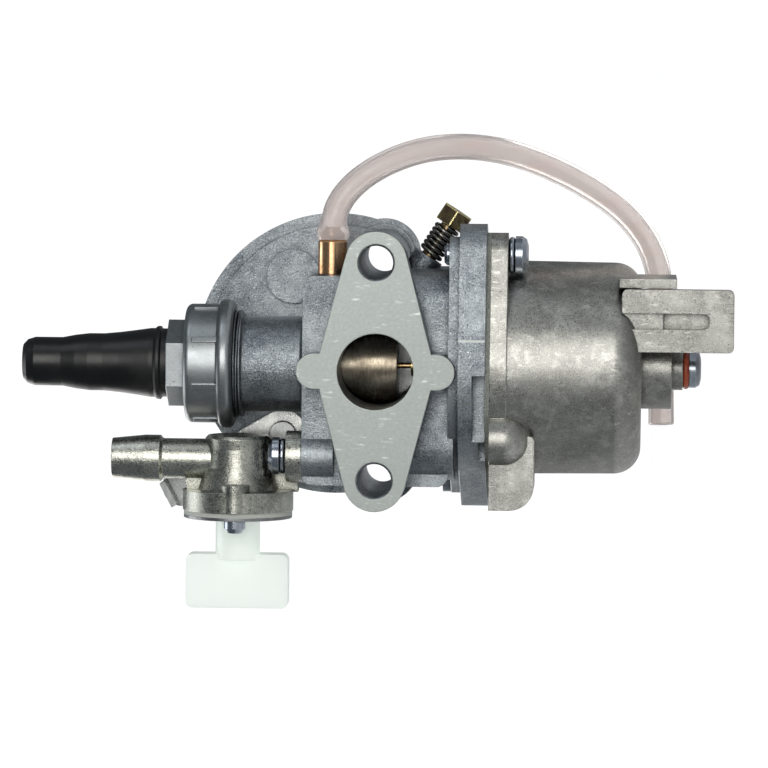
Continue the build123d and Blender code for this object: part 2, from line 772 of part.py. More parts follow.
with BuildPart() as locknut:
    hexagon(locknut_flats, (0, slide_y, hex_top), (0, 0, 1), locknut_height)
    rod(adjuster_r + thread_clearance, (0, slide_y, hex_top - 1), (0, slide_y, hex_top + 5), Mode.SUBTRACT)
write(locknut.part, "adjuster_locknut")

with BuildPart() as boot:
    nut_space = hex_top + locknut_height + 0.3
    turned(
        [
            (boot_nut_r, hex_top), (boot_lip_r - 0.45, hex_top), (boot_lip_r - 0.45, hex_top + 1.1),
            (boot_lip_r, hex_top + 1.4), (boot_lip_r, hex_top + 2.0), (boot_lip_r - 0.4, hex_top + 2.5),
            (boot_r + 1.1, hex_top + 3.3), (boot_r + 0.7, hex_top + 6.0), (boot_r + 0.3, hex_top + 9.0),
            (boot_r, hex_top + 12.0), (boot_r, boot_top - 12.4), (boot_r - 0.3, boot_top - 9.9),
            (boot_tip_r, boot_top - 7.3), (boot_tip_r, boot_top - 2.2), (boot_tip_r - 0.45, boot_top - 0.8),
            (boot_tip_r - 1.3, boot_top),
            (cable_entry_r, boot_top), (cable_entry_r, adjuster_top), (adjuster_r + 0.02, adjuster_top),
            (adjuster_r + 0.02, nut_space + 0.8), (boot_nut_r, nut_space),
        ],
        (0, slide_y, 0), (0, 0, 1),
    )
write(boot.part, "cable_boot")

# ---- Vent nipple and hose ----
spigot_r = hose_bore_r - nipple_slack
nipple_inner_end = block_left - nipple_sunk
nipple_root_r = nipple_r - 0.62
barb_x = nipple_collar + 1.2
barb_top_r = nipple_r - 0.4
with BuildPart() as nipple:
    turned(
        [
            (nipple_bore_r, nipple_inner_end), (nipple_root_r, nipple_inner_end),
            (nipple_root_r, block_left + face_gap), (nipple_r, block_left + face_gap),
            (nipple_r, nipple_collar - 0.4), (nipple_r - 0.25, nipple_collar - 0.1),
            (nipple_r - 0.25, nipple_collar), (spigot_r + 0.3, nipple_collar), (barb_top_r, barb_x - 0.5),
            (barb_top_r, barb_x), (spigot_r, barb_x + 0.9), (spigot_r, nipple_end),
            (nipple_bore_r, nipple_end),
        ],
        (0, nipple_y, nipple_z), (1, 0, 0),
    )
write(nipple.part, "vent_nipple")

hose_first = nipple_collar + nipple_slack
hose_route = [
    (hose_first, nipple_y, nipple_z),
    (27.8, nipple_y, nipple_z),
    (31.9, 17.3, 6.9),
    (35.4, 17.8, 3.3),
    (38.5, 18.5, -2.1),
    (40.6, 19.3, -8.7),
    (41.1, 20.4, -16.0),
    (40.0, 21.8, -23.8),
    (37.2, 23.2, -31.6),
    (33.2, 24.8, -39.4),
    (28.0, 26.4, -46.4),
    (20.8, 28.6, -51.2),
    (12.0, 30.6, -52.4),
    (2.4, 31.2, -52.3),
    (-5.0, 30.9, -52.5),
    (-11.1, 29.9, -52.6),
]


def arc_radii(points, share=0.45):
    """The largest arc radius each corner's two runs allow."""
    found = []
    for before, corner, after in zip(points, points[1:], points[2:]):
        run_in = Vector(*corner) - Vector(*before)
        run_out = Vector(*after) - Vector(*corner)
        half_turn = math.radians(run_in.get_angle(run_out)) / 2
        found.append(share * min(run_in.length, run_out.length) / math.tan(half_turn))
    return found


hose_radii = arc_radii(hose_route)
print("hose arc radii, mm:", [round(radius, 1) for radius in hose_radii])
with BuildLine() as hose_path:
    FilletPolyline(*hose_route, radius=hose_radii)
hose_start = Plane(origin=hose_route[0], z_dir=Vector(*hose_route[1]) - Vector(*hose_route[0]))
hose_length = sum(edge.length for edge in hose_path.edges())
first_bend = hose_route[1][0] - hose_radii[0] * math.tan(
    math.radians((Vector(*hose_route[2]) - Vector(*hose_route[1])).get_angle(Vector(1, 0, 0))) / 2
)
with BuildPart() as hose:
    with BuildSketch(hose_start) as hose_section:
        Circle(hose_r)
        Circle(hose_bore_r, mode=Mode.SUBTRACT)
    sweep(hose_section.sketch, path=hose_path.wire())
    section_area = math.pi * (hose_r**2 - hose_bore_r**2)
    expected = section_area * hose_length
    print(
        "hose length", round(hose_length, 1), "volume", round(hose.part.volume, 1), "expected",
        round(expected, 1),
    )
    # The end is stretched over the nipple's barb, and is plain again before the first bend.
    sleeve_r = hose_bore_r + 0.3
    flare_end = first_bend - 0.15
    turned(
        [
            (sleeve_r, hose_first), (nipple_bulge_r - 0.15, hose_first), (nipple_bulge_r, hose_first + 0.5),
            (nipple_bulge_r - 0.1, barb_x), (hose_r - 0.1, flare_end), (sleeve_r, flare_end),
        ],
        (0, nipple_y, nipple_z), (1, 0, 0),
    )
    turned(
        [
            (0, nipple_inner_end), (barb_top_r + 0.04, nipple_inner_end), (barb_top_r + 0.04, barb_x + 0.05),
            (hose_bore_r - 0.02, barb_x + 1.0), (0, barb_x + 1.0),
        ],
        (0, nipple_y, nipple_z), (1, 0, 0), Mode.SUBTRACT,
    )
write(hose.part, "vent_hose")

# ---- Idle-speed screw and its spring ----
with BuildPart() as idle_screw:
    hexagon(idle_head_flats, idle_head, idle_direction, idle_head_height)
    rod(idle_screw_r, tuple(idle_neck - idle_axis * 0.5), tuple(idle_tip - idle_axis))
    turned(
        [(0, -1.01), (idle_screw_r, -1.01), (0.6, 0), (0, 0)],
        tuple(idle_tip), idle_direction,
    )
    # Screwdriver slot across the head.
    slot_middle = Vector(*idle_head) + idle_axis * 0.4
    with BuildSketch(Plane(origin=tuple(slot_middle), x_dir=(0, 1, 0), z_dir=idle_direction)) as slot:
        Rectangle(1.0, idle_head_flats * 1.5)
    extrude(slot.sketch, amount=1.0, both=True, mode=Mode.SUBTRACT)
write(idle_screw.part, "idle_speed_screw")

with BuildPart() as idle_spring:
    coil(
        idle_spring_r - idle_spring_wire_r, idle_spring_wire_r, idle_spring_length, idle_spring_turns,
        tuple(idle_neck), idle_direction,
    )
write(idle_spring.part, "idle_screw_spring")

# ---- Petcock: body, ear and inlet pipe in one casting ----
recess_r = knob_disc_r + 0.2
recess_top = base_bottom + wave_height + 2.0 + seal_thickness
ear_top = block_top + mount_ear_thickness
petcock_axis = (0, petcock_y, petcock_z)
with BuildPart() as petcock:
    turned(
        [
            (0, petcock_top), (petcock_top_r - 0.5, petcock_top), (petcock_top_r, petcock_top - 0.5),
            (petcock_waist_r, petcock_top - 2.4), (petcock_waist_r + 0.2, petcock_top - 6.0),
            (petcock_foot_r, petcock_foot), (0, petcock_foot),
        ],
        petcock_axis, (1, 0, 0),
    )
    rod(base_r, (petcock_foot, petcock_y, petcock_z), (base_bottom, petcock_y, petcock_z))
    # Inlet pipe with a barb, a web under it, and the outlet ear with its pipe and web.
    turned(
        [
            (0, petcock_z), (pipe_r, petcock_z), (pipe_r, barb_land_start - 0.5), (barb_r, barb_land_start),
            (barb_r, barb_land_end), (barb_tip_r, pipe_end), (0, pipe_end),
        ],
        (pipe_x, petcock_y, 0), (0, 0, 1),
    )
    with BuildSketch(Plane.XZ.offset(-petcock_y + web_width / 2)) as web:
        with BuildLine():
            Polyline(
                (pipe_x, petcock_z + 4), (pipe_x, petcock_z + 10.6), (petcock_foot - 0.5, petcock_z + 9.4),
                (petcock_foot - 0.5, petcock_z + 4), close=True,
            )
        make_face()
    extrude(amount=-web_width)
    with BuildSketch(Plane.XY.offset(block_top)) as ear:
        with Locations((mount_screw_x, mount_screw_y), (pipe_x, outlet_y)):
            Circle(mount_ear_r)
        make_hull()
    extrude(amount=mount_ear_thickness)
    rod(outlet_r + 0.8, (pipe_x, outlet_y, block_top + 1), (pipe_x, outlet_y, petcock_z))
    block((petcock_foot - 0.5, petcock_y + 1, block_top + 1), (pipe_x, petcock_y + 4, petcock_z - 4))
    # Screw bosses on the base, front and back.
    for side in (-1, 1):
        y = petcock_y + side * cover_screw_offset
        rod(cover_screw_r + 1.4, (petcock_foot + 1.4, y, petcock_z), (base_bottom, y, petcock_z))
    # Passages, valve recess and holes.
    rod(pipe_bore_r, (pipe_x, petcock_y, pipe_end + 1), (pipe_x, petcock_y, petcock_z), Mode.SUBTRACT)
    rod(recess_r, (base_bottom - 1, petcock_y, petcock_z), (recess_top, petcock_y, petcock_z), Mode.SUBTRACT)
    inlet_z = petcock_z + inlet_rise
    outlet_z = petcock_z - outlet_drop
    side_y = petcock_y + outlet_side
    rod(passage_r, (recess_top - 1, petcock_y, inlet_z), (pipe_x, petcock_y, inlet_z), Mode.SUBTRACT)
    rod(outlet_bore_r, (pipe_x, outlet_y, block_top - 1), (pipe_x, outlet_y, petcock_z), Mode.SUBTRACT)
    rod(passage_r, (pipe_x, outlet_y, outlet_z), (pipe_x, side_y, outlet_z), Mode.SUBTRACT)
    rod(passage_r, (recess_top - 1, side_y, outlet_z), (pipe_x, side_y, outlet_z), Mode.SUBTRACT)
    rod(
        ring_seat_r, (pipe_x, outlet_y, block_top - 1), (pipe_x, outlet_y, block_top + ring_seat_depth),
        Mode.SUBTRACT,
    )
    rod(
        screw_r + 0.1, (mount_screw_x, mount_screw_y, block_top - 1),
        (mount_screw_x, mount_screw_y, ear_top + 4),
        Mode.SUBTRACT,
    )
    # Spot face for the mounting screw's head.
    rod(
        screw_head_r + 0.3, (mount_screw_x, mount_screw_y, ear_top),
        (mount_screw_x, mount_screw_y, ear_top + 4),
        Mode.SUBTRACT,
    )
    for side in (-1, 1):
        y = petcock_y + side * cover_screw_offset
        rod(
            cover_screw_r + thread_clearance, (base_bottom - 1, y, petcock_z), (base_bottom + 4, y, petcock_z),
            Mode.SUBTRACT,
        )
write(petcock.part, "petcock_body")

with BuildPart() as outlet_ring:
    ring_middle = (pipe_x, outlet_y, block_top + ring_wire_r)
    with BuildSketch(Plane(origin=ring_middle, x_dir=(1, 0, 0), z_dir=(0, -1, 0))) as ring:
        with Locations((ring_seat_r - 0.1 - ring_wire_r, 0)):
            Circle(ring_wire_r)
    revolve(axis=Axis((pipe_x, outlet_y, 0), (0, 0, 1)))
write(outlet_ring.part, "petcock_outlet_o_ring")

with BuildPart() as mount_washer:
    split_washer(
        (mount_screw_x, mount_screw_y, ear_top), (0, 0, 1), screw_r + 0.1, screw_head_r - 0.1, washer_height,
    )
write(mount_washer.part, "petcock_mount_washer")

with BuildPart() as mount_screw:
    pan_head_screw(
        (mount_screw_x, mount_screw_y, ear_top + washer_height),
        (0, 0, -1), screw_head_r, mount_head_height, screw_r,
        mount_ear_thickness + washer_height + mount_screw_length - 1,
    )
write(mount_screw.part, "petcock_mount_screw")

with BuildPart() as seal:
    rod(
        recess_r - 0.05, (recess_top, petcock_y, petcock_z),
        (recess_top - seal_thickness, petcock_y, petcock_z),
    )
    for y, z in [(petcock_y, inlet_z), (side_y, outlet_z)]:
        rod(passage_r, (recess_top + 1, y, z), (recess_top - 3, y, z), Mode.SUBTRACT)
write(seal.part, "petcock_seal")

plate_bottom = base_bottom - gasket_plate - retainer_plate
with BuildPart() as knob:
    disc_top = recess_top - seal_thickness
    rod(knob_disc_r, (disc_top, petcock_y, petcock_z), (disc_top - 2.0, petcock_y, petcock_z))
    rod(knob_stem_r, (disc_top, petcock_y, petcock_z), (knob_bar_top - 1, petcock_y, petcock_z))
    with BuildSketch(Plane.XZ.offset(-petcock_y + knob_bar_thickness / 2)) as bar:
        with Locations(((knob_bar_top + knob_bar_bottom) / 2, petcock_z)):
            RectangleRounded(knob_bar_top - knob_bar_bottom, 2 * knob_bar_half, 1.3)
    extrude(bar.sketch, amount=-knob_bar_thickness)
write(knob.part, "petcock_knob")

with BuildPart() as wave_washer:
    wave_top = base_bottom + wave_height - 0.1
    rod(knob_disc_r - 0.1, (base_bottom, petcock_y, petcock_z), (wave_top, petcock_y, petcock_z))
    rod(
        knob_stem_r + 0.3, (base_bottom - 1, petcock_y, petcock_z), (wave_top + 1, petcock_y, petcock_z),
        Mode.SUBTRACT,
    )
write(wave_washer.part, "petcock_wave_washer")

for label, top, thickness, hole_r in [
    ("petcock_gasket_plate", base_bottom, gasket_plate, knob_stem_r + 0.3),
    ("petcock_retainer_plate", base_bottom - gasket_plate, retainer_plate, knob_stem_r + running_clearance),
]:
    with BuildPart() as plate:
        rod(base_r - 0.2, (top, petcock_y, petcock_z), (top - thickness, petcock_y, petcock_z))
        rod(hole_r, (top + 1, petcock_y, petcock_z), (top - 2, petcock_y, petcock_z), Mode.SUBTRACT)
        for side in (-1, 1):
            y = petcock_y + side * cover_screw_offset
            rod(cover_screw_r + 0.1, (top + 1, y, petcock_z), (top - 2, y, petcock_z), Mode.SUBTRACT)
    write(plate.part, label)

with BuildPart() as cover_screws:
    for side in (-1, 1):
        pan_head_screw(
            (plate_bottom, petcock_y + side * cover_screw_offset, petcock_z), (1, 0, 0), cover_head_r,
            cover_head_height, cover_screw_r, gasket_plate + retainer_plate + 3.4,
        )
write(cover_screws.part, "petcock_cover_screws")

# ---- Float, its pin, the valve and the jets ----
with BuildPart() as float_piece:
    rod(float_r, (0, slide_y, float_top), (0, slide_y, float_bottom))
    fillet(rims(float_piece, float_r, float_top) + rims(float_piece, float_r, float_bottom), 1.5)
    rod(float_inner_r, (0, slide_y, float_top + 1), (0, slide_y, float_bottom - 1), Mode.SUBTRACT)
    arm_y = post_gap / 2 - 0.3
    rod(hinge_eye_r, (hinge_x, slide_y - arm_y, hinge_z), (hinge_x, slide_y + arm_y, hinge_z))
    for inner, low in [(hinge_x, hinge_z - hinge_eye_r), (arm_end - 3.5, float_top - 1)]:
        block((inner, slide_y - arm_y, low), (arm_end, slide_y + arm_y, hinge_z - 0.4))
    rod(
        hinge_pin_r + running_clearance, (hinge_x, slide_y - 9, hinge_z), (hinge_x, slide_y + 9, hinge_z),
        Mode.SUBTRACT,
    )
write(float_piece.part, "float")

with BuildPart() as hinge_pin:
    rod(hinge_pin_r, (hinge_x, slide_y - 5.4, hinge_z), (hinge_x, slide_y + 5.4, hinge_z))
write(hinge_pin.part, "float_hinge_pin")

valve_lift = (valve_x - hinge_x) * math.sin(math.radians(float_swing))
with BuildPart() as seat:
    turned(
        [
            (orifice_r, seat_top), (seat_r, seat_top), (seat_r, seat_bottom), (seat_bore_r, seat_bottom),
            (seat_bore_r, cone_base - 0.9), (orifice_r, cone_base),
        ],
        (valve_x, slide_y, 0), (0, 0, 1),
    )
write(seat.part, "needle_seat")

with BuildPart() as valve:
    tip = cone_base - valve_lift - shut_gap
    turned(
        [
            (0, valve_bottom), (0.5, valve_bottom), (0.5, valve_bottom + 0.7), (valve_r, valve_bottom + 0.7),
            (valve_r, tip - 1.1), (orifice_r - 0.15, tip), (0, tip),
        ],
        (valve_x, slide_y, 0), (0, 0, 1),
    )
write(valve.part, "float_needle")

with BuildPart() as jet_tube:
    rod(jet_tube_r, (0, slide_y, column_bottom), (0, slide_y, -bore_r - 2))
    rod(jet_nozzle_r, (0, slide_y, -bore_r - 3), (0, slide_y, jet_top))
    rod(jet_bore_r, (0, slide_y, column_bottom - 1), (0, slide_y, jet_top + 1), Mode.SUBTRACT)
write(jet_tube.part, "needle_jet")

with BuildPart() as main_jet:
    hexagon(jet_hex_flats, (0, slide_y, column_bottom), (0, 0, -1), jet_hex_height)
    rod(main_jet_bore_r, (0, slide_y, column_bottom + 1), (0, slide_y, column_bottom - 9), Mode.SUBTRACT)
write(main_jet.part, "main_jet")

with BuildPart() as pilot_jet:
    rod(pilot_r, (pilot_x, pilot_y, flange_bottom + pilot_depth), (pilot_x, pilot_y, pilot_bottom))
    rod(
        pilot_jet_bore_r, (pilot_x, pilot_y, flange_bottom + 9), (pilot_x, pilot_y, pilot_bottom - 1),
        Mode.SUBTRACT,
    )
write(pilot_jet.part, "pilot_jet")

# ---- Choke: lever in front of the disc, pin through it, shutter behind it ----
lever_back = disc_front - 0.4 - face_gap
lever_front = lever_back - lever_thickness
shutter_front = body_depth + face_gap
lever_turn = math.radians(lever_angle)
lever_end = (choke_x + lever_reach * math.cos(lever_turn), choke_z + lever_reach * math.sin(lever_turn))

with BuildPart() as lever:
    with BuildSketch(Plane.XZ.offset(-lever_front)) as lever_face:
        with Locations((choke_x, choke_z)):
            Circle(lever_pivot_r)
        with Locations(lever_end):
            Circle(lever_end_r)
        make_hull()
    extrude(amount=-lever_thickness)
    # The end is bent forward into a finger tab.
    along = Vector(math.cos(lever_turn), 0, math.sin(lever_turn))
    tab_root = Vector(lever_end[0], lever_front + 0.4, lever_end[1]) + along * (lever_end_r - lever_thickness)
    with BuildSketch(Plane(origin=tab_root, x_dir=along, z_dir=(0, -1, 0))) as tab:
        Rectangle(lever_thickness, lever_tab_width)
    extrude(tab.sketch, amount=lever_tab_reach + 0.4)
    rod(choke_pin_r, (choke_x, lever_front - 1, choke_z), (choke_x, lever_back + 1, choke_z), Mode.SUBTRACT)
write(lever.part, "choke_lever")

with BuildPart() as shutter:
    with BuildSketch(Plane.XZ.offset(-shutter_front)) as shutter_face:
        with Locations((choke_x, choke_z)):
            Circle(lever_pivot_r)
        Circle(shutter_r)
        make_hull()
    extrude(amount=-shutter_thickness)
    rod(
        choke_pin_r, (choke_x, shutter_front - 1, choke_z), (choke_x, shutter_front + 3, choke_z),
        Mode.SUBTRACT,
    )
write(shutter.part, "choke_shutter")

with BuildPart() as choke_pin:
    turned(
        [
            (0, lever_front - 0.9), (2.4, lever_front - 0.9), (2.6, lever_front), (choke_pin_r, lever_front),
            (choke_pin_r, shutter_front + shutter_thickness), (2.3, shutter_front + shutter_thickness),
            (2.1, shutter_front + shutter_thickness + 0.8), (0, shutter_front + shutter_thickness + 0.8),
        ],
        (choke_x, 0, choke_z), (0, 1, 0),
    )
write(choke_pin.part, "choke_pin")
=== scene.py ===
# %% [markdown]
# # A slide carburetor, dressed for the studio
# The metal body of this carburetor was drawn in CAD, piece by piece. This lesson gives the pieces
# their finishes, adds the small parts a CAD drawing leaves plain, and sets the light and the camera.
# Everything is in metres: +Z points at the throttle cap and -Y out of the engine flange.

# %% Load the CAD pieces
import json
import math

import bpy
from mathutils import Matrix, Vector


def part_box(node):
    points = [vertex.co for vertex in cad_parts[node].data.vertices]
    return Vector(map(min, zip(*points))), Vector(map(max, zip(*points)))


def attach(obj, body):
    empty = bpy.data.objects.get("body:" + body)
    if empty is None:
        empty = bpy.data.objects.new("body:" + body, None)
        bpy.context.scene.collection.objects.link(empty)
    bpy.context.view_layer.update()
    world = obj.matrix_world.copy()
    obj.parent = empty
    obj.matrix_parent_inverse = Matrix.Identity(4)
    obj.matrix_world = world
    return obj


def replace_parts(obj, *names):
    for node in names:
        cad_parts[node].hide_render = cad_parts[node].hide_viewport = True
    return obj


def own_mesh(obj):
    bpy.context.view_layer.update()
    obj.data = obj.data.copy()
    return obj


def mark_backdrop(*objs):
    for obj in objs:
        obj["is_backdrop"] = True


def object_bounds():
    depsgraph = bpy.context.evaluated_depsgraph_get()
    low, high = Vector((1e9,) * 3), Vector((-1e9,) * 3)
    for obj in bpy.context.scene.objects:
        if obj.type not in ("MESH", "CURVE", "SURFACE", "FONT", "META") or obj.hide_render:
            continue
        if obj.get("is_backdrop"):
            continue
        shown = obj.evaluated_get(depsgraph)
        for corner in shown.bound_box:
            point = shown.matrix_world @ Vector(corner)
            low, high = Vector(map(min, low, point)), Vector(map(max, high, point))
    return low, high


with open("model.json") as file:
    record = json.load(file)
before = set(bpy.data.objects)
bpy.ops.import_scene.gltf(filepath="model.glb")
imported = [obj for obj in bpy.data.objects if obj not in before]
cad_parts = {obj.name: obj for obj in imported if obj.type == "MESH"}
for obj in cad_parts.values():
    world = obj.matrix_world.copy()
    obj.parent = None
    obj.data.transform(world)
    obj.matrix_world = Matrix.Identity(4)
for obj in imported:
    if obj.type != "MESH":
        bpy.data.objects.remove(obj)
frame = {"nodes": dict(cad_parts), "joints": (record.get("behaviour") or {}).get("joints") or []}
cad_low, cad_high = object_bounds()
nodes = frame["nodes"]
joints = {joint["name"]: joint for joint in frame["joints"]}
mm = 0.001
print("pieces:", len(nodes), "box in mm:", [round(v / mm, 1) for v in (cad_high - cad_low)])

# %% [markdown]
# ## The camera
# A long lens, almost a metre away and turned on its side, looks at the engine flange. A long lens keeps
# the round flange round. A camera's matrix holds its right, up and back directions as columns, so one
# matrix says both where it stands and how it is turned.

# %% Camera
camera_data = bpy.data.cameras.new("studio_camera")
camera_data.lens = 243.5
camera_data.sensor_width = 36
camera_data.clip_start = 0.05
camera_data.clip_end = 20
camera = bpy.data.objects.new("studio_camera", camera_data)
bpy.context.scene.collection.objects.link(camera)
camera_right = Vector((0.00933, 0.04681, -0.99886))
camera_up = Vector((0.99764, 0.06753, 0.01249))
camera_back = Vector((0.06804, -0.99662, -0.04607))
camera_place = Vector((62.465, -946.858, -45.440)) * mm
camera_turn = Matrix((camera_right, camera_up, camera_back)).transposed()
camera.matrix_world = Matrix.Translation(camera_place) @ camera_turn.to_4x4()
bpy.context.scene.camera = camera
print("camera stands", round(camera_place.length, 3), "m from the bore")

# %% [markdown]
# ## The vent hose
# A soft clear tube is pushed over the brass nipple, bends round the float bowl and ends under it. Its
# middle line is a NURBS curve through a few control points. Two walls of rings are built along that
# line: the outer wall swells where the barb stretches it, and the inner wall makes the tube hollow.

# %% Vent hose: the middle line
hose_points = [
    (23.55, 17.0, 8.9), (27.8, 17.0, 8.9), (31.9, 17.3, 6.9), (35.4, 17.8, 3.3), (38.5, 18.5, -2.1),
    (40.6, 19.3, -8.7), (41.1, 20.4, -16.0), (40.0, 21.8, -23.8), (37.2, 23.2, -31.6),
    (33.2, 24.8, -39.4), (28.0, 26.4, -46.4), (20.8, 28.6, -51.2), (12.0, 30.6, -52.4),
    (2.4, 31.2, -52.3), (-5.0, 30.9, -52.5), (-11.1, 29.9, -52.6),
]


def line_along(name, points, smoothness):
    """Points read from an open NURBS curve through the control points, in metres."""
    curve = bpy.data.curves.new(name, "CURVE")
    curve.dimensions = "3D"
    curve.resolution_u = smoothness
    spline = curve.splines.new("NURBS")
    spline.points.add(len(points) - 1)
    for control, point in zip(spline.points, points):
        control.co = [v * mm for v in point] + [1]
    spline.order_u = 3
    spline.use_endpoint_u = True
    holder = bpy.data.objects.new(name, curve)
    bpy.context.scene.collection.objects.link(holder)
    bpy.context.view_layer.update()
    sampled = bpy.data.meshes.new_from_object(holder.evaluated_get(bpy.context.evaluated_depsgraph_get()))
    line = [vertex.co.copy() for vertex in sampled.vertices]
    bpy.data.objects.remove(holder)
    bpy.data.meshes.remove(sampled)
    return line


hose_line = line_along("hose_line", hose_points, 16)

# %% Vent hose: the walls
hose_radius, hose_bore, hose_swell, hose_sides = 2.4 * mm, 1.5 * mm, 3.05 * mm, 32


def hose_outside(distance):
    """The outer radius at a distance from the nipple's collar."""
    swell_ends, plain_from, lip_length, lip_depth = 1.1 * mm, 4.0 * mm, 0.4 * mm, 0.15 * mm
    share = min(max((distance - swell_ends) / (plain_from - swell_ends), 0), 1)
    lip = lip_depth * max(0, 1 - distance / lip_length)
    return hose_swell + (hose_radius - hose_swell) * (3 * share**2 - 2 * share**3) - lip


def hose_inside(distance):
    """The inner radius, wide over the barb and plain beyond it."""
    barb_ends, plain_from, over_barb = 1.3 * mm, 2.4 * mm, 2.36 * mm
    share = min(max((distance - barb_ends) / (plain_from - barb_ends), 0), 1)
    return over_barb + (hose_bore - over_barb) * share


def tube(name, line, outside, inside, sides):
    """A hollow tube along a line, with flat closed ends."""
    directions = [(b - a).normalized() for a, b in zip(line, line[1:])]
    between = [(a + b).normalized() for a, b in zip(directions, directions[1:])]
    tangents = [directions[0]] + between + [directions[-1]]
    across = tangents[0].orthogonal().normalized()
    outer, inner, distance = [], [], 0.0
    for place, point in enumerate(line):
        distance += (point - line[place - 1]).length if place else 0
        across = (across - tangents[place] * across.dot(tangents[place])).normalized()
        other = tangents[place].cross(across)
        for wall, radius in ((outer, outside(distance)), (inner, inside(distance))):
            for side in range(sides):
                turn = 2 * math.pi * side / sides
                wall.append(point + across * math.cos(turn) * radius + other * math.sin(turn) * radius)
    rings, start = len(line), len(outer)
    faces = []
    for ring in range(rings - 1):
        for side in range(sides):
            a, b = ring * sides + side, ring * sides + (side + 1) % sides
            faces.append((a, b, b + sides, a + sides))
            faces.append((start + a, start + a + sides, start + b + sides, start + b))
    last = (rings - 1) * sides
    for side in range(sides):
        a, b = side, (side + 1) % sides
        faces.append((a, start + a, start + b, b))
        faces.append((last + a, last + b, start + last + b, start + last + a))
    mesh = bpy.data.meshes.new(name)
    mesh.from_pydata(outer + inner, [], faces)
    mesh.polygons.foreach_set("use_smooth", [True] * len(mesh.polygons))
    mesh.update()
    piece = bpy.data.objects.new(name, mesh)
    bpy.context.scene.collection.objects.link(piece)
    return piece


vent_tube = tube("vent_tube", hose_line, hose_outside, hose_inside, hose_sides)
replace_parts(vent_tube, "vent_hose")
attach(vent_tube, "casting")
print("hose walls:", len(vent_tube.data.polygons), "faces")

# %% [markdown]
# ## Studio light
# Metal shows what stands round it. A wide soft light beside the camera makes the flat faces light and
# draws a bright band down every cylinder, while a dimmer room leaves the cylinders' edges dark. Three
# weaker lights, at the side, above and behind, shape the rest, and the floor is plain and pale.

# %% World, lights and floor
world = bpy.data.worlds.new("studio_room")
bpy.context.scene.world = world
world.use_nodes = True
sky = world.node_tree
sky.nodes.clear()
room_light = sky.nodes.new("ShaderNodeBackground")
room_light.inputs["Color"].default_value = (0.82, 0.91, 1.0, 1)
room_light.inputs["Strength"].default_value = 0.13
backdrop = sky.nodes.new("ShaderNodeBackground")
backdrop.inputs["Color"].default_value = (1, 1, 1, 1)
backdrop.inputs["Strength"].default_value = 1.05
seen = sky.nodes.new("ShaderNodeLightPath")
either = sky.nodes.new("ShaderNodeMixShader")
sky_out = sky.nodes.new("ShaderNodeOutputWorld")
sky.links.new(seen.outputs["Is Camera Ray"], either.inputs[0])
sky.links.new(room_light.outputs[0], either.inputs[1])
sky.links.new(backdrop.outputs[0], either.inputs[2])
sky.links.new(either.outputs[0], sky_out.inputs["Surface"])


def soft_light(name, place, aim, width, power, colour):
    """A square light that faces a point."""
    data = bpy.data.lights.new(name, "AREA")
    data.shape = "SQUARE"
    data.size = width
    data.energy = power
    data.color = colour
    lamp = bpy.data.objects.new(name, data)
    bpy.context.scene.collection.objects.link(lamp)
    turn = (Vector(place) - Vector(aim)).to_track_quat("Z", "Y")
    lamp.matrix_world = Matrix.Translation(Vector(place)) @ turn.to_matrix().to_4x4()
    return lamp


object_middle = (cad_low + cad_high) / 2
lamps = [
    soft_light("front_light", (0.28, -1.00, 0.10), object_middle, 0.62, 5.2, (1.0, 0.99, 0.96)),
    soft_light("side_light", (0.95, -0.35, 0.35), object_middle, 0.5, 1.1, (0.90, 0.95, 1.0)),
    soft_light("top_light", (-0.25, 0.25, 1.0), object_middle, 0.7, 3.0, (0.95, 0.98, 1.0)),
    soft_light("back_light", (-0.6, 0.85, 0.45), object_middle, 0.7, 3.4, (1.0, 0.98, 0.96)),
]
floor_gap = 0.5 * mm
floor_z = cad_low.z - floor_gap
floor_mesh = bpy.data.meshes.new("studio_floor")
reach = 3.0
corners = [(x * reach, y * reach, floor_z) for x, y in ((-1, -1), (1, -1), (1, 1), (-1, 1))]
floor_mesh.from_pydata(corners, [], [(0, 1, 2, 3)])
floor = bpy.data.objects.new("studio_floor", floor_mesh)
bpy.context.scene.collection.objects.link(floor)
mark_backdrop(floor, *lamps)
bpy.context.scene.view_settings.view_transform = "Standard"
print("floor at", round(floor_z / mm, 1), "mm,", len(lamps), "lights")

# %% [markdown]
# ## How a finish is made
# Every finish of a piece is one Principled shader with patterns behind it. Patterns are read in Object
# coordinates, so their size is in metres on the real part: a noise of scale 4000 has grains a quarter
# of a millimetre wide. These helpers keep each finish short to write.

# %% Finish helpers
finishes = {}


def sockets_set(shader, values):
    """Sets the shader's own sockets by name."""
    for socket, value in values.items():
        shader.inputs[socket].default_value = value


def finish(name, colour, metallic, roughness, **more):
    """A new material with one Principled shader. Extra sockets are given as Words_In_Capitals."""
    material = bpy.data.materials.new(name)
    material.use_nodes = True
    shader = material.node_tree.nodes["Principled BSDF"]
    values = {"Base Color": (*colour, 1), "Metallic": metallic, "Roughness": roughness}
    values.update({key.replace("_", " "): value for key, value in more.items()})
    sockets_set(shader, values)
    finishes[name] = material
    return material


def step(material, kind, inputs=(), **settings):
    """Adds a node, sets it, and joins or fills its inputs. Returns it."""
    node = material.node_tree.nodes.new(kind)
    for key, value in settings.items():
        setattr(node, key, value)
    for key, value in dict(inputs).items():
        if hasattr(value, "is_linked"):
            material.node_tree.links.new(value, node.inputs[key])
        else:
            node.inputs[key].default_value = value
    return node


def place_on(material, stretch=(1, 1, 1), turn=(0, 0, 0)):
    """Object coordinates, stretched and turned."""
    where = step(material, "ShaderNodeTexCoord").outputs["Object"]
    return step(material, "ShaderNodeMapping",
                {"Vector": where, "Rotation": turn, "Scale": stretch}).outputs[0]


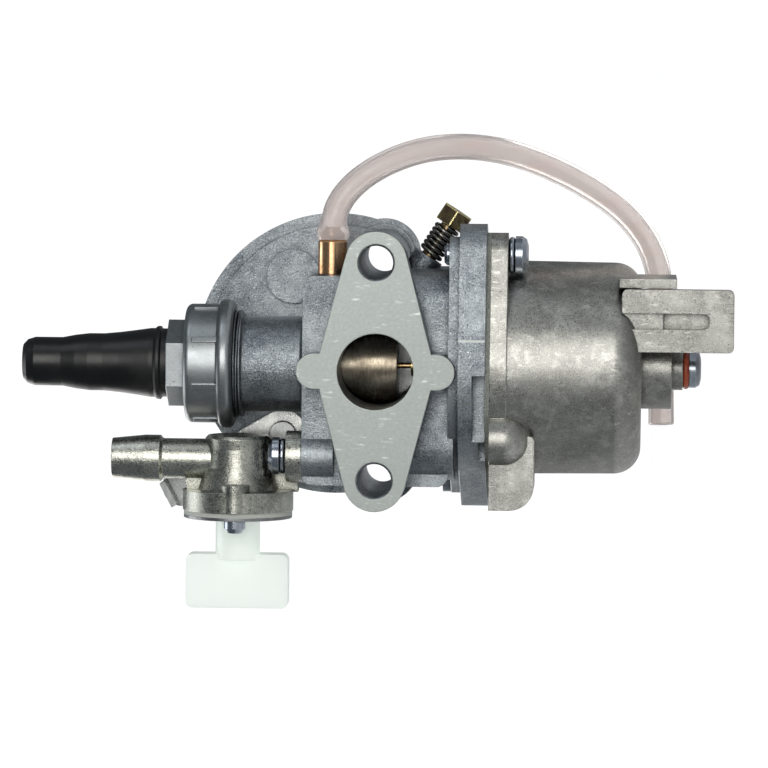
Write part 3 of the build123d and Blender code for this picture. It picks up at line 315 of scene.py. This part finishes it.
def noise(material, place, scale, detail=3.0, roughness=0.55):
    """Cloudy grains, from 0 to 1."""
    return step(material, "ShaderNodeTexNoise",
                {"Vector": place, "Scale": scale, "Detail": detail, "Roughness": roughness}).outputs["Fac"]


def band(material, value, low, high, start=0.0, end=1.0):
    """Moves the range low..high to start..end, held at both ends."""
    return step(material, "ShaderNodeMapRange",
                {"Value": value, "From Min": low, "From Max": high,
                 "To Min": start, "To Max": end}).outputs[0]


def sums(material, operation, first, second):
    """One piece of arithmetic, kept between 0 and 1."""
    return step(material, "ShaderNodeMath", {0: first, 1: second},
                operation=operation, use_clamp=True).outputs[0]


def part_of(material, pattern, share):
    """A pattern at a share of its strength."""
    return sums(material, "MULTIPLY", pattern, share)


def blend_colours(material, share, first, second):
    """Two colours mixed by a pattern."""
    node = step(material, "ShaderNodeMix", {"Factor": share}, data_type="RGBA")
    for socket, colour in ((node.inputs[6], first), (node.inputs[7], second)):
        if hasattr(colour, "is_linked"):
            material.node_tree.links.new(colour, socket)
        else:
            socket.default_value = (*colour, 1)
    return node.outputs[2]


def brighter(colour, times):
    """A colour made stronger or darker, never past white."""
    return [min(1, channel * times) for channel in colour]


def feed(material, **values):
    """Joins patterns to the shader's sockets."""
    shader = material.node_tree.nodes["Principled BSDF"]
    for key, value in values.items():
        material.node_tree.links.new(value, shader.inputs[key.replace("_", " ")])


def scratches(material, scale, share, turns=(0.4, 1.3, 2.5), stretch=0.05):
    """Fine short scratches in a few directions, in patches: a noise stretched long and cut to thin lines."""
    total = None
    for turn in turns:
        place = place_on(material, (1.0, 1.0, stretch), (0.3 * turn, turn, 0.2))
        lines = noise(material, place, scale, 2.0, 0.5)
        thin = band(material, lines, 1 - share, 1 - share + 0.05)
        clouds = noise(material, place_on(material, (1, 1, 1), (0, turn, turn)), 260, 2.0)
        thin = sums(material, "MULTIPLY", thin, band(material, clouds, 0.50, 0.60))
        total = thin if total is None else sums(material, "MAXIMUM", total, thin)
    return total


def edge_wear_and_highlight_mask(material, radius, strength=1.0):
    """Where a rounded copy of the surface leans away from the flat one is an edge: its mask lightens rubbed
    wear, and on the yellow zinc a painted highlight.
    """
    rounded = step(material, "ShaderNodeBevel", {"Radius": radius}, samples=6).outputs[0]
    flat = step(material, "ShaderNodeNewGeometry").outputs["Normal"]
    lean = step(material, "ShaderNodeVectorMath", {0: rounded, 1: flat},
                operation="DOT_PRODUCT").outputs["Value"]
    return rounded, band(material, lean, 0.995, 0.90, 0.0, strength)


def painted_corner_shade(material, reach, depth):
    """Painted shade: how far a point lies in a corner, from 0 in the open to depth in the corner, read from
    ambient occlusion.
    """
    open_share = step(material, "ShaderNodeAmbientOcclusion", {"Distance": reach}, samples=6).outputs["AO"]
    return band(material, open_share, 0.85, 0.30, 0.0, depth)


def relief(material, height, depth, normal=None):
    """A bump from a height pattern, over a normal if one is given."""
    inputs = {"Height": height, "Distance": depth, "Strength": 1.0}
    if normal is not None:
        inputs["Normal"] = normal
    return step(material, "ShaderNodeBump", inputs).outputs[0]


print("finish helpers ready")

# %% [markdown]
# ## Cast metal
# The body is die-cast and shot-blasted: a fine sparkling grain, a little blue-grey in colour, with
# small pits and edges rubbed bright, and painted shade darkens its corners. The two end faces are machined
# flat after casting, so the grain gives way there to fine bright scratches. The height above each end face
# picks which finish shows.

# %% Cast finishes


def machined_face(material, plain, colour, edge_wear_and_highlight, rounded):
    """The colour, roughness and normal of a face cut flat: fine tool marks and bright scratches."""
    marks = scratches(material, 2100, 0.35, (0.5, 1.1, 1.9, 2.7), 0.16)
    specks = band(material, noise(material, plain, 2600, 3.0, 0.7), 0.60, 0.70)
    fine = noise(material, plain, 1500, 5.0, 0.7)
    face = blend_colours(material, band(material, fine, 0.35, 0.65), brighter(colour, 0.86), colour)
    face = blend_colours(material, part_of(material, specks, 0.3), face, brighter(colour, 1.35))
    face = blend_colours(material, part_of(material, marks, 0.65), face, brighter(colour, 1.6))
    face = blend_colours(material, edge_wear_and_highlight, face, brighter(colour, 1.5))
    rough = band(material, marks, 0.0, 1.0, 0.44, 0.30)
    return face, rough, relief(material, fine, 0.006 * mm, rounded)


def near_planes(material, planes):
    """1 on the faces that lie at the given Y, and 0 elsewhere."""
    where = step(material, "ShaderNodeTexCoord").outputs["Object"]
    depth = step(material, "ShaderNodeSeparateXYZ", {"Vector": where}).outputs["Y"]
    total = None
    for plane in planes:
        away = step(material, "ShaderNodeMath", {0: depth, 1: plane}, operation="SUBTRACT").outputs[0]
        away = step(material, "ShaderNodeMath", {0: away}, operation="ABSOLUTE").outputs[0]
        near = band(material, away, 0.06 * mm, 0.03 * mm)
        total = near if total is None else sums(material, "MAXIMUM", total, near)
    return total


def cast(name, dark, light, roughness, grain_size, grain_depth, glint, scuffs, mottle=0.2, machined=None):
    """Blasted castings. machined = (colour, list of Y planes) lays a cut flat finish on those faces."""
    material = finish(name, light, 1.0, roughness)
    plain = place_on(material)
    clouds = noise(material, plain, 110, 5.0, 0.6)
    grain = noise(material, plain, 1 / grain_size, 2.0, 0.6)
    cells = step(material, "ShaderNodeTexVoronoi", {"Vector": plain, "Scale": 1.6 / grain_size})
    cell_red = step(material, "ShaderNodeSeparateColor", {"Color": cells.outputs["Color"]}).outputs[0]
    glints = band(material, cell_red, 0.86, 1.0)
    pits = band(material, noise(material, plain, 1100, 2.0), 0.29, 0.23)
    rounded, edge_wear_and_highlight = edge_wear_and_highlight_mask(material, 0.22 * mm, 0.7)
    tone = sums(material, "ADD", part_of(material, clouds, 0.55), part_of(material, grain, 0.45))
    colour = blend_colours(material, band(material, tone, 0.36, 0.62), dark, light)
    colour = blend_colours(material, part_of(material, glints, glint), colour, brighter(light, 1.6))
    colour = blend_colours(material, part_of(material, pits, 0.75), colour, brighter(dark, 0.3))
    turned = place_on(material, (1, 1, 1), (0.7, 0.3, 0.5))
    patches = band(material, noise(material, turned, 330, 4.0, 0.7), 0.50, 0.64)
    colour = blend_colours(material, part_of(material, patches, mottle), colour, brighter(light, 1.5))
    marks = scratches(material, 1500, 0.36, (0.4, 1.3, 2.2), 0.24)
    colour = blend_colours(material, part_of(material, marks, scuffs), colour, brighter(light, 1.5))
    colour = blend_colours(material, edge_wear_and_highlight, colour, brighter(light, 1.35))
    # Painted shade: corners and creases are darkened where ambient occlusion finds them.
    colour = blend_colours(material, painted_corner_shade(material, 1.6 * mm, 0.75), colour, brighter(dark, 0.16))
    rough = band(material, grain, 0.3, 0.7, roughness - 0.08, roughness + 0.14)
    rough = sums(material, "SUBTRACT", rough, part_of(material, edge_wear_and_highlight, 0.12))
    height = sums(material, "ADD", part_of(material, grain, 0.7), part_of(material, clouds, 0.3))
    normal = relief(material, height, grain_depth, rounded)
    if machined:
        face_colour, planes = machined
        on_face = near_planes(material, planes)
        face, face_rough, face_normal = machined_face(material, plain, face_colour, edge_wear_and_highlight, rounded)
        colour = blend_colours(material, on_face, colour, face)
        rough = step(material, "ShaderNodeMix", {0: on_face, 2: rough, 3: face_rough},
                     data_type="FLOAT").outputs[0]
        mixed = step(material, "ShaderNodeMix", {0: on_face, 4: normal, 5: face_normal},
                     data_type="VECTOR").outputs[1]
        normal = step(material, "ShaderNodeVectorMath", {0: mixed}, operation="NORMALIZE").outputs[0]
    feed(material, Base_Color=colour, Roughness=rough, Normal=normal)
    return material


air_face_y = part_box("carburetor_body")[1].y
cast("cast_body", (0.085, 0.10, 0.12), (0.45, 0.48, 0.50), 0.34, 0.27 * mm, 0.15 * mm,
     glint=0.6, scuffs=0.3, machined=((0.44, 0.47, 0.45), [0.0, air_face_y]))
cast("cast_bowl", (0.25, 0.245, 0.225), (0.50, 0.495, 0.46), 0.30, 0.22 * mm, 0.05 * mm,
     glint=0.5, scuffs=0.6, mottle=0.45)
cast("cast_cap", (0.27, 0.29, 0.295), (0.43, 0.45, 0.46), 0.35, 0.18 * mm, 0.020 * mm,
     glint=0.15, scuffs=0.2)
cast("cast_petcock", (0.26, 0.26, 0.23), (0.56, 0.56, 0.50), 0.28, 0.30 * mm, 0.060 * mm,
     glint=0.45, scuffs=0.3, mottle=0.4)
print("cast finishes:", [name for name in finishes if name.startswith("cast")])

# %% [markdown]
# ## Plated, turned and sprung metal
# Zinc plating is bluish, bright and slightly cloudy. Brass is turned on a lathe, which leaves rings round
# its axis; these finishes draw no rings.
# The spring and its washers are oiled steel, and painted shade darkens their gaps and every plated part's
# corners.
# Rubbed edges are brighter than the rest, and the yellow zinc idle screw's edges get a painted highlight in
# bright yellow.

# %% Plated and turned finishes


def plated(name, dark, light, roughness, edge_wear_and_highlight_colour=None, cloud=160, edge=0.15 * mm, marks=0.5):
    """Small plated or turned metal parts."""
    material = finish(name, light, 1.0, roughness)
    clouds = noise(material, place_on(material), cloud, 4.0, 0.6)
    fine = noise(material, place_on(material, (1, 1, 3), (0.4, 0.2, 0.0)), 700, 4.0, 0.65)
    lines = scratches(material, 2200, 0.33)
    rounded, edge_wear_and_highlight = edge_wear_and_highlight_mask(material, edge, 0.9)
    tone = sums(material, "ADD", part_of(material, clouds, 0.6), part_of(material, fine, 0.4))
    colour = blend_colours(material, band(material, tone, 0.36, 0.64), dark, light)
    colour = blend_colours(material, part_of(material, lines, marks), colour, brighter(light, 1.35))
    # Edges are lightened: rubbed wear, and on the yellow zinc idle screw a painted highlight in bright
    # yellow.
    colour = blend_colours(material, edge_wear_and_highlight, colour, edge_wear_and_highlight_colour or brighter(light, 1.3))
    # Painted shade: corners and gaps, such as a spring's coils, are darkened where ambient occlusion finds
    # them.
    colour = blend_colours(material, painted_corner_shade(material, 0.7 * mm, 0.8), colour, brighter(dark, 0.14))
    rough = band(material, tone, 0.3, 0.7, roughness + 0.1, roughness - 0.04)
    normal = relief(material, sums(material, "ADD", fine, lines), 0.006 * mm, rounded)
    feed(material, Base_Color=colour, Roughness=rough, Normal=normal)
    return material


plated("bright_zinc", (0.34, 0.38, 0.45), (0.62, 0.66, 0.72), 0.20)
# The idle screw's wide bright yellow edges are a painted highlight along its rims.
plated("yellow_zinc", (0.16, 0.075, 0.075), (0.52, 0.42, 0.20), 0.22, (1.0, 0.92, 0.46),
       cloud=420, edge=0.42 * mm)
plated("turned_brass", (0.56, 0.37, 0.15), (0.86, 0.63, 0.33), 0.24)
plated("copper_brass", (0.66, 0.33, 0.15), (0.98, 0.66, 0.40), 0.17)
plated("oiled_spring_steel", (0.10, 0.10, 0.09), (0.34, 0.33, 0.30), 0.16, marks=0.3)
plated("lever_steel", (0.34, 0.35, 0.35), (0.60, 0.60, 0.58), 0.24)
plated("washer_steel", (0.20, 0.20, 0.20), (0.44, 0.45, 0.46), 0.32)
plated("slide_brown_metal", (0.16, 0.13, 0.095), (0.40, 0.35, 0.27), 0.27, (0.62, 0.57, 0.46),
       cloud=220)
print("plated finishes:", len(finishes) - 4)

# %% [markdown]
# ## Rubber, vinyl, nylon and gasket paper
# The boot is glossy black rubber with a moulded sheen and a little dust. The tap's knob is milky nylon
# that lets light in below its surface, and glows a little with painted light. The hose is clear vinyl
# with pink streaks in its colour, and glows faintly pink with painted light.

# %% Soft and moulded finishes
rubber = finish("boot_rubber", (0.008, 0.008, 0.008), 0.0, 0.36, Specular_IOR_Level=0.5)
skin = noise(rubber, place_on(rubber), 700, 4.0)
dust = noise(rubber, place_on(rubber), 120, 5.0)
dusty = band(rubber, dust, 0.52, 0.75)
feed(rubber,
     Base_Color=blend_colours(rubber, dusty, (0.006, 0.006, 0.006), (0.022, 0.022, 0.021)),
     Roughness=band(rubber, dust, 0.35, 0.7, 0.32, 0.46),
     Normal=relief(rubber, skin, 0.02 * mm, edge_wear_and_highlight_mask(rubber, 0.25 * mm)[0]))

red_rubber = finish("red_ring_rubber", (0.42, 0.06, 0.025), 0.0, 0.34,
                    Coat_Weight=0.3, Coat_Roughness=0.2)
red_spots = band(red_rubber, noise(red_rubber, place_on(red_rubber), 600, 4.0), 0.4, 0.65)
feed(red_rubber,
     Base_Color=blend_colours(red_rubber, red_spots, (0.42, 0.06, 0.025), (0.62, 0.13, 0.06)))

# Painted glow: a faint pink emission makes the hose glow.
vinyl = finish("hose_vinyl", (0.98, 0.92, 0.89), 0.0, 0.14, IOR=1.30, Transmission_Weight=0.80,
               Specular_IOR_Level=0.5, Emission_Color=(1.0, 0.86, 0.80, 1), Emission_Strength=0.07)
streaks = noise(vinyl, place_on(vinyl, (1, 1, 0.25)), 500, 4.0)
pinker = band(vinyl, streaks, 0.45, 0.7)
feed(vinyl,
     Base_Color=blend_colours(vinyl, pinker, (1.0, 0.965, 0.95), (0.97, 0.88, 0.85)),
     Roughness=band(vinyl, streaks, 0.35, 0.7, 0.10, 0.26),
     Normal=relief(vinyl, streaks, 0.02 * mm))

# Painted glow: a pale green-white emission makes the knob glow, as if lit through from behind.
nylon = finish("milky_nylon", (0.88, 0.92, 0.86), 0.0, 0.30,
               Subsurface_Weight=0.6, Subsurface_Radius=(0.004, 0.0045, 0.004), Subsurface_Scale=1.0,
               Coat_Weight=0.2, Coat_Roughness=0.12,
               Emission_Color=(0.90, 1.0, 0.90, 1), Emission_Strength=0.34)
milky = band(nylon, noise(nylon, place_on(nylon), 180, 4.0), 0.4, 0.7)
nylon_skin = noise(nylon, place_on(nylon), 1300, 3.0)
feed(nylon,
     Base_Color=blend_colours(nylon, milky, (0.94, 0.98, 0.92), (0.86, 0.92, 0.86)),
     Normal=relief(nylon, nylon_skin, 0.008 * mm, edge_wear_and_highlight_mask(nylon, 0.3 * mm)[0]))

paper = finish("gasket_paper", (0.30, 0.31, 0.27), 0.0, 0.85)
fibres = noise(paper, place_on(paper, (1, 1, 4)), 1400, 5.0, 0.7)
woolly = band(paper, fibres, 0.35, 0.65)
feed(paper,
     Base_Color=blend_colours(paper, woolly, (0.16, 0.17, 0.15), (0.42, 0.43, 0.38)),
     Normal=relief(paper, fibres, 0.03 * mm))

for name, colour, middle, grain, smoothest, roughest in (
        ("seal_rubber", (0.02, 0.02, 0.02), 0.45, 900, 0.38, 0.55),
        ("pale_plate", (0.62, 0.64, 0.58), 0.5, 700, 0.4, 0.6),
        ("float_plastic", (0.03, 0.03, 0.032), 0.5, 800, 0.42, 0.6)):
    material = finish(name, colour, 0.0, middle)
    grains = noise(material, place_on(material), grain)
    feed(material, Roughness=band(material, grains, 0.3, 0.7, smoothest, roughest))

pale_floor = finish("pale_floor", (0.90, 0.90, 0.90), 0.0, 0.7)
floor_shader = pale_floor.node_tree.nodes["Principled BSDF"]
seen_by_camera = step(pale_floor, "ShaderNodeLightPath").outputs["Is Camera Ray"]
glow = step(pale_floor, "ShaderNodeEmission", {"Strength": 1.12})
glow_share = part_of(pale_floor, seen_by_camera, 0.88)
floor_mix = step(pale_floor, "ShaderNodeMixShader",
                 {0: glow_share, 1: floor_shader.outputs[0], 2: glow.outputs[0]})
pale_floor.node_tree.links.new(floor_mix.outputs[0],
                               pale_floor.node_tree.nodes["Material Output"].inputs["Surface"])
floor_mesh.materials.append(pale_floor)
print("finishes in all:", len(finishes))

# %% [markdown]
# ## Which piece wears which finish
# A CAD piece keeps its mesh; only the material in its slot changes. The table reads like a parts list,
# and a piece left off it would keep the plain colour of the drawing, so the last line counts them.

# %% Dress the CAD pieces
wardrobe = {
    "cast_body": ["carburetor_body"],
    "cast_bowl": ["float_bowl"],
    "cast_cap": ["top_cap"],
    "cast_petcock": ["petcock_body"],
    "gasket_paper": ["bowl_gasket", "cap_gasket"],
    "bright_zinc": ["bowl_screws", "bowl_screw_washers", "drain_screw", "petcock_mount_screw",
                    "petcock_mount_washer", "petcock_cover_screws", "adjuster_locknut", "cable_adjuster"],
    "yellow_zinc": ["idle_speed_screw"],
    "turned_brass": ["jet_needle", "needle_jet", "main_jet", "pilot_jet", "needle_seat", "float_needle"],
    "copper_brass": ["vent_nipple"],
    "oiled_spring_steel": ["throttle_spring", "idle_screw_spring", "needle_clip", "float_hinge_pin"],
    "lever_steel": ["choke_lever", "choke_pin", "choke_shutter"],
    "washer_steel": ["petcock_retainer_plate", "petcock_wave_washer"],
    "slide_brown_metal": ["throttle_slide"],
    "boot_rubber": ["cable_boot"],
    "seal_rubber": ["petcock_outlet_o_ring", "petcock_seal"],
    "red_ring_rubber": ["drain_o_ring"],
    "milky_nylon": ["petcock_knob"],
    "pale_plate": ["petcock_gasket_plate"],
    "float_plastic": ["float"],
    "hose_vinyl": ["vent_hose"],
}


def dress(piece, finish_name):
    """Puts one finish in every slot of a piece."""
    slots = piece.data.materials
    if not slots:
        slots.append(finishes[finish_name])
    for number in range(len(slots)):
        slots[number] = finishes[finish_name]


for finish_name, members in wardrobe.items():
    for member in members:
        dress(nodes[member], finish_name)
dress(vent_tube, "hose_vinyl")
dressed = {member for members in wardrobe.values() for member in members}
print("dressed:", len(dressed), "of", len(nodes), "left:", sorted(set(nodes) - dressed))

# %% [markdown]
# ## Springs and threads that follow a rule
# A spring is one wire swept along a helix, and a screw thread is a small wedge swept along a tighter
# one. One Geometry Nodes tree makes both: a helix, a profile of three or more corners, and a place and
# turn for the result. Its sizes are named inputs, so each thread is the same tree with other numbers.

# %% The helix tree


def helix_tree():
    """A Geometry Nodes tree that sweeps a round or three-cornered wire along a helix."""
    tree = bpy.data.node_groups.new("helix_sweep", "GeometryNodeTree")
    face = tree.interface
    face.new_socket("Geometry", in_out="OUTPUT", socket_type="NodeSocketGeometry")
    for kind, labels in (("Float", ("Radius", "End radius", "Rise", "Turns", "Wire radius")),
                         ("Int", ("Corners", "Steps")), ("Vector", ("Place", "Turn")),
                         ("Material", ("Finish",))):
        for label in labels:
            face.new_socket(label, in_out="INPUT", socket_type="NodeSocket" + kind)
    add, join = tree.nodes.new, tree.links.new
    given, result = add("NodeGroupInput"), add("NodeGroupOutput")
    spiral = add("GeometryNodeCurveSpiral")
    for source, target in (("Steps", "Resolution"), ("Turns", "Rotations"), ("Radius", "Start Radius"),
                           ("End radius", "End Radius"), ("Rise", "Height")):
        join(given.outputs[source], spiral.inputs[target])
    profile = add("GeometryNodeCurvePrimitiveCircle")
    join(given.outputs["Corners"], profile.inputs["Resolution"])
    join(given.outputs["Wire radius"], profile.inputs["Radius"])
    sweep = add("GeometryNodeCurveToMesh")
    join(spiral.outputs["Curve"], sweep.inputs["Curve"])
    join(profile.outputs["Curve"], sweep.inputs["Profile Curve"])
    sweep.inputs["Fill Caps"].default_value = True
    placed = add("GeometryNodeTransform")
    join(sweep.outputs["Mesh"], placed.inputs["Geometry"])
    join(given.outputs["Place"], placed.inputs["Translation"])
    join(given.outputs["Turn"], placed.inputs["Rotation"])
    smooth = add("GeometryNodeSetShadeSmooth")
    join(placed.outputs["Geometry"], smooth.inputs["Geometry"])
    real = add("GeometryNodeRealizeInstances")
    join(smooth.outputs["Geometry"], real.inputs["Geometry"])
    painted = add("GeometryNodeSetMaterial")
    join(real.outputs["Geometry"], painted.inputs["Geometry"])
    join(given.outputs["Finish"], painted.inputs["Material"])
    join(painted.outputs["Geometry"], result.inputs["Geometry"])
    return tree


helix = helix_tree()


def grown(name, tree, values, body):
    """Runs a Geometry Nodes tree once, keeps its mesh as a plain piece, and seats it on a body."""
    holder = bpy.data.objects.new(name + "_maker", bpy.data.meshes.new(name + "_maker"))
    bpy.context.scene.collection.objects.link(holder)
    modifier = holder.modifiers.new("maker", "NODES")
    modifier.node_group = tree
    for item in tree.interface.items_tree:
        if item.in_out == "INPUT" and item.name in values:
            modifier[item.identifier] = values[item.name]
    bpy.context.view_layer.update()
    mesh = bpy.data.meshes.new_from_object(holder.evaluated_get(bpy.context.evaluated_depsgraph_get()))
    mesh.name = name
    holder.modifiers.remove(modifier)
    bpy.data.objects.remove(holder)
    piece = bpy.data.objects.new(name, mesh)
    bpy.context.scene.collection.objects.link(piece)
    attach(piece, body)
    print(name, "has", len(mesh.polygons), "faces")
    return piece


def upright_to(direction):
    """The turn that stands +Z along a direction."""
    return Vector(direction).to_track_quat("Z", "Y").to_euler()


# %% [markdown]
# ### Idle-screw spring and neck thread
# The little spring under the idle screw's head keeps the screw from turning by itself. The real wire
# has round, closed coils, so the swept helix replaces the plainer CAD spring on the same body. The
# neck's thread is a thin ridge below the cap, where it can be seen.

# %% Idle spring and neck thread
idle_turn = joints["idle_screw_turn"]
idle_axis = -Vector(idle_turn["axis"]).normalized()
head_height, idle_spring_length = 3.2 * mm, 6.9 * mm
idle_neck = Vector(idle_turn["pos_m"]) + idle_axis * head_height
idle_wire, idle_coil_radius = 0.42 * mm, 2.02 * mm
idle_spring = grown("idle_spring_coils", helix, {
    "Radius": idle_coil_radius, "End radius": idle_coil_radius,
    "Rise": idle_spring_length - 2 * idle_wire, "Turns": 6.5,
    "Wire radius": idle_wire, "Corners": 14, "Steps": 40,
    "Place": idle_neck + idle_axis * idle_wire, "Turn": upright_to(idle_axis),
    "Finish": finishes["oiled_spring_steel"],
}, "casting")
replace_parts(idle_spring, "idle_screw_spring")


neck_radius, thread_pitch, thread_length, thread_depth = 9.95 * mm, 1.0 * mm, 1.4 * mm, 0.16 * mm
grown("neck_thread", helix, {
    "Radius": neck_radius, "End radius": neck_radius, "Rise": thread_length,
    "Turns": thread_length / thread_pitch, "Wire radius": thread_depth * 1.6, "Corners": 3, "Steps": 40,
    "Place": Vector((0, 20, 25.6)) * mm, "Turn": upright_to((0, 0, 1)), "Finish": finishes["cast_body"],
}, "casting")
print("idle spring starts at", [round(v / mm, 2) for v in idle_neck])

# %% [markdown]
# ### Throttle spring
# The long spring inside the barrel pushes the slide shut, and shortens as the slide rises. A posed CAD
# node can only stand still or move as a whole. A swept helix replaces the CAD spring; it is made once,
# at the drawn length, and does not shorten as the slide rises.

# %% Throttle spring
spring_low, spring_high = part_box("throttle_spring")
spring_length = spring_high.z - spring_low.z
coil_wire = 0.45 * mm
coil_radius = (spring_high.x - spring_low.x) / 2 - coil_wire
spring_middle = (spring_low + spring_high) / 2
throttle_coils = grown("throttle_spring_coils", helix, {
    "Radius": coil_radius, "End radius": coil_radius,
    "Rise": spring_length - 2.2 * coil_wire, "Turns": 9.0,
    "Wire radius": coil_wire, "Corners": 12, "Steps": 40,
    "Place": Vector((spring_middle.x, spring_middle.y, spring_low.z + 1.1 * coil_wire)),
    "Turn": upright_to((0, 0, 1)), "Finish": finishes["oiled_spring_steel"],
}, "casting")
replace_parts(throttle_coils, "throttle_spring")
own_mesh(throttle_coils)

# %% [markdown]
# ### Split spring washers
# A split washer is a spring of a single turn, whose two ends stand a little apart. The same helix tree
# makes it with one turn and a small rise, which gives the round edges that a flat drawn ring lacks.

# %% Split washers


washer_wire, washer_reach = 0.62 * mm, 3.4 * mm
washer_ring = 3.35 * mm - washer_wire


def split_washer(name, node, place, direction):
    """One turn of thick wire between a screw's head and its seat. The seat is at place."""
    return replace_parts(grown(name, helix, {
        "Radius": washer_ring, "End radius": washer_ring, "Rise": 0.12 * mm, "Turns": 0.97,
        "Wire radius": washer_wire, "Corners": 18, "Steps": 64,
        "Place": Vector(place) + Vector(direction) * washer_wire,
        "Turn": upright_to(direction), "Finish": finishes["bright_zinc"],
    }, "casting"), node)


low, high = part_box("bowl_screw_washers")
across = (high.x - low.x) / 2 - washer_reach
front, back = (across, low.y + washer_reach, high.z), (-across, high.y - washer_reach, high.z)
split_washer("front_washer", "bowl_screw_washers", front, (0, 0, -1))
split_washer("back_washer", "bowl_screw_washers", back, (0, 0, -1))
low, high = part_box("petcock_mount_washer")
seat = ((low.x + high.x) / 2, (low.y + high.y) / 2, low.z)
split_washer("ear_washer", "petcock_mount_washer", seat, (0, 0, 1))

# %% [markdown]
# ## Size after dressing
# The size before and after dressing is printed as a difference in millimetres, so it can be seen whether
# anything grew.

# %% Sizes and finish
scene_low, scene_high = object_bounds()
growth = [round(v / mm, 3) for v in (scene_high - scene_low) - (cad_high - cad_low)]
print("grown by mm:", growth)
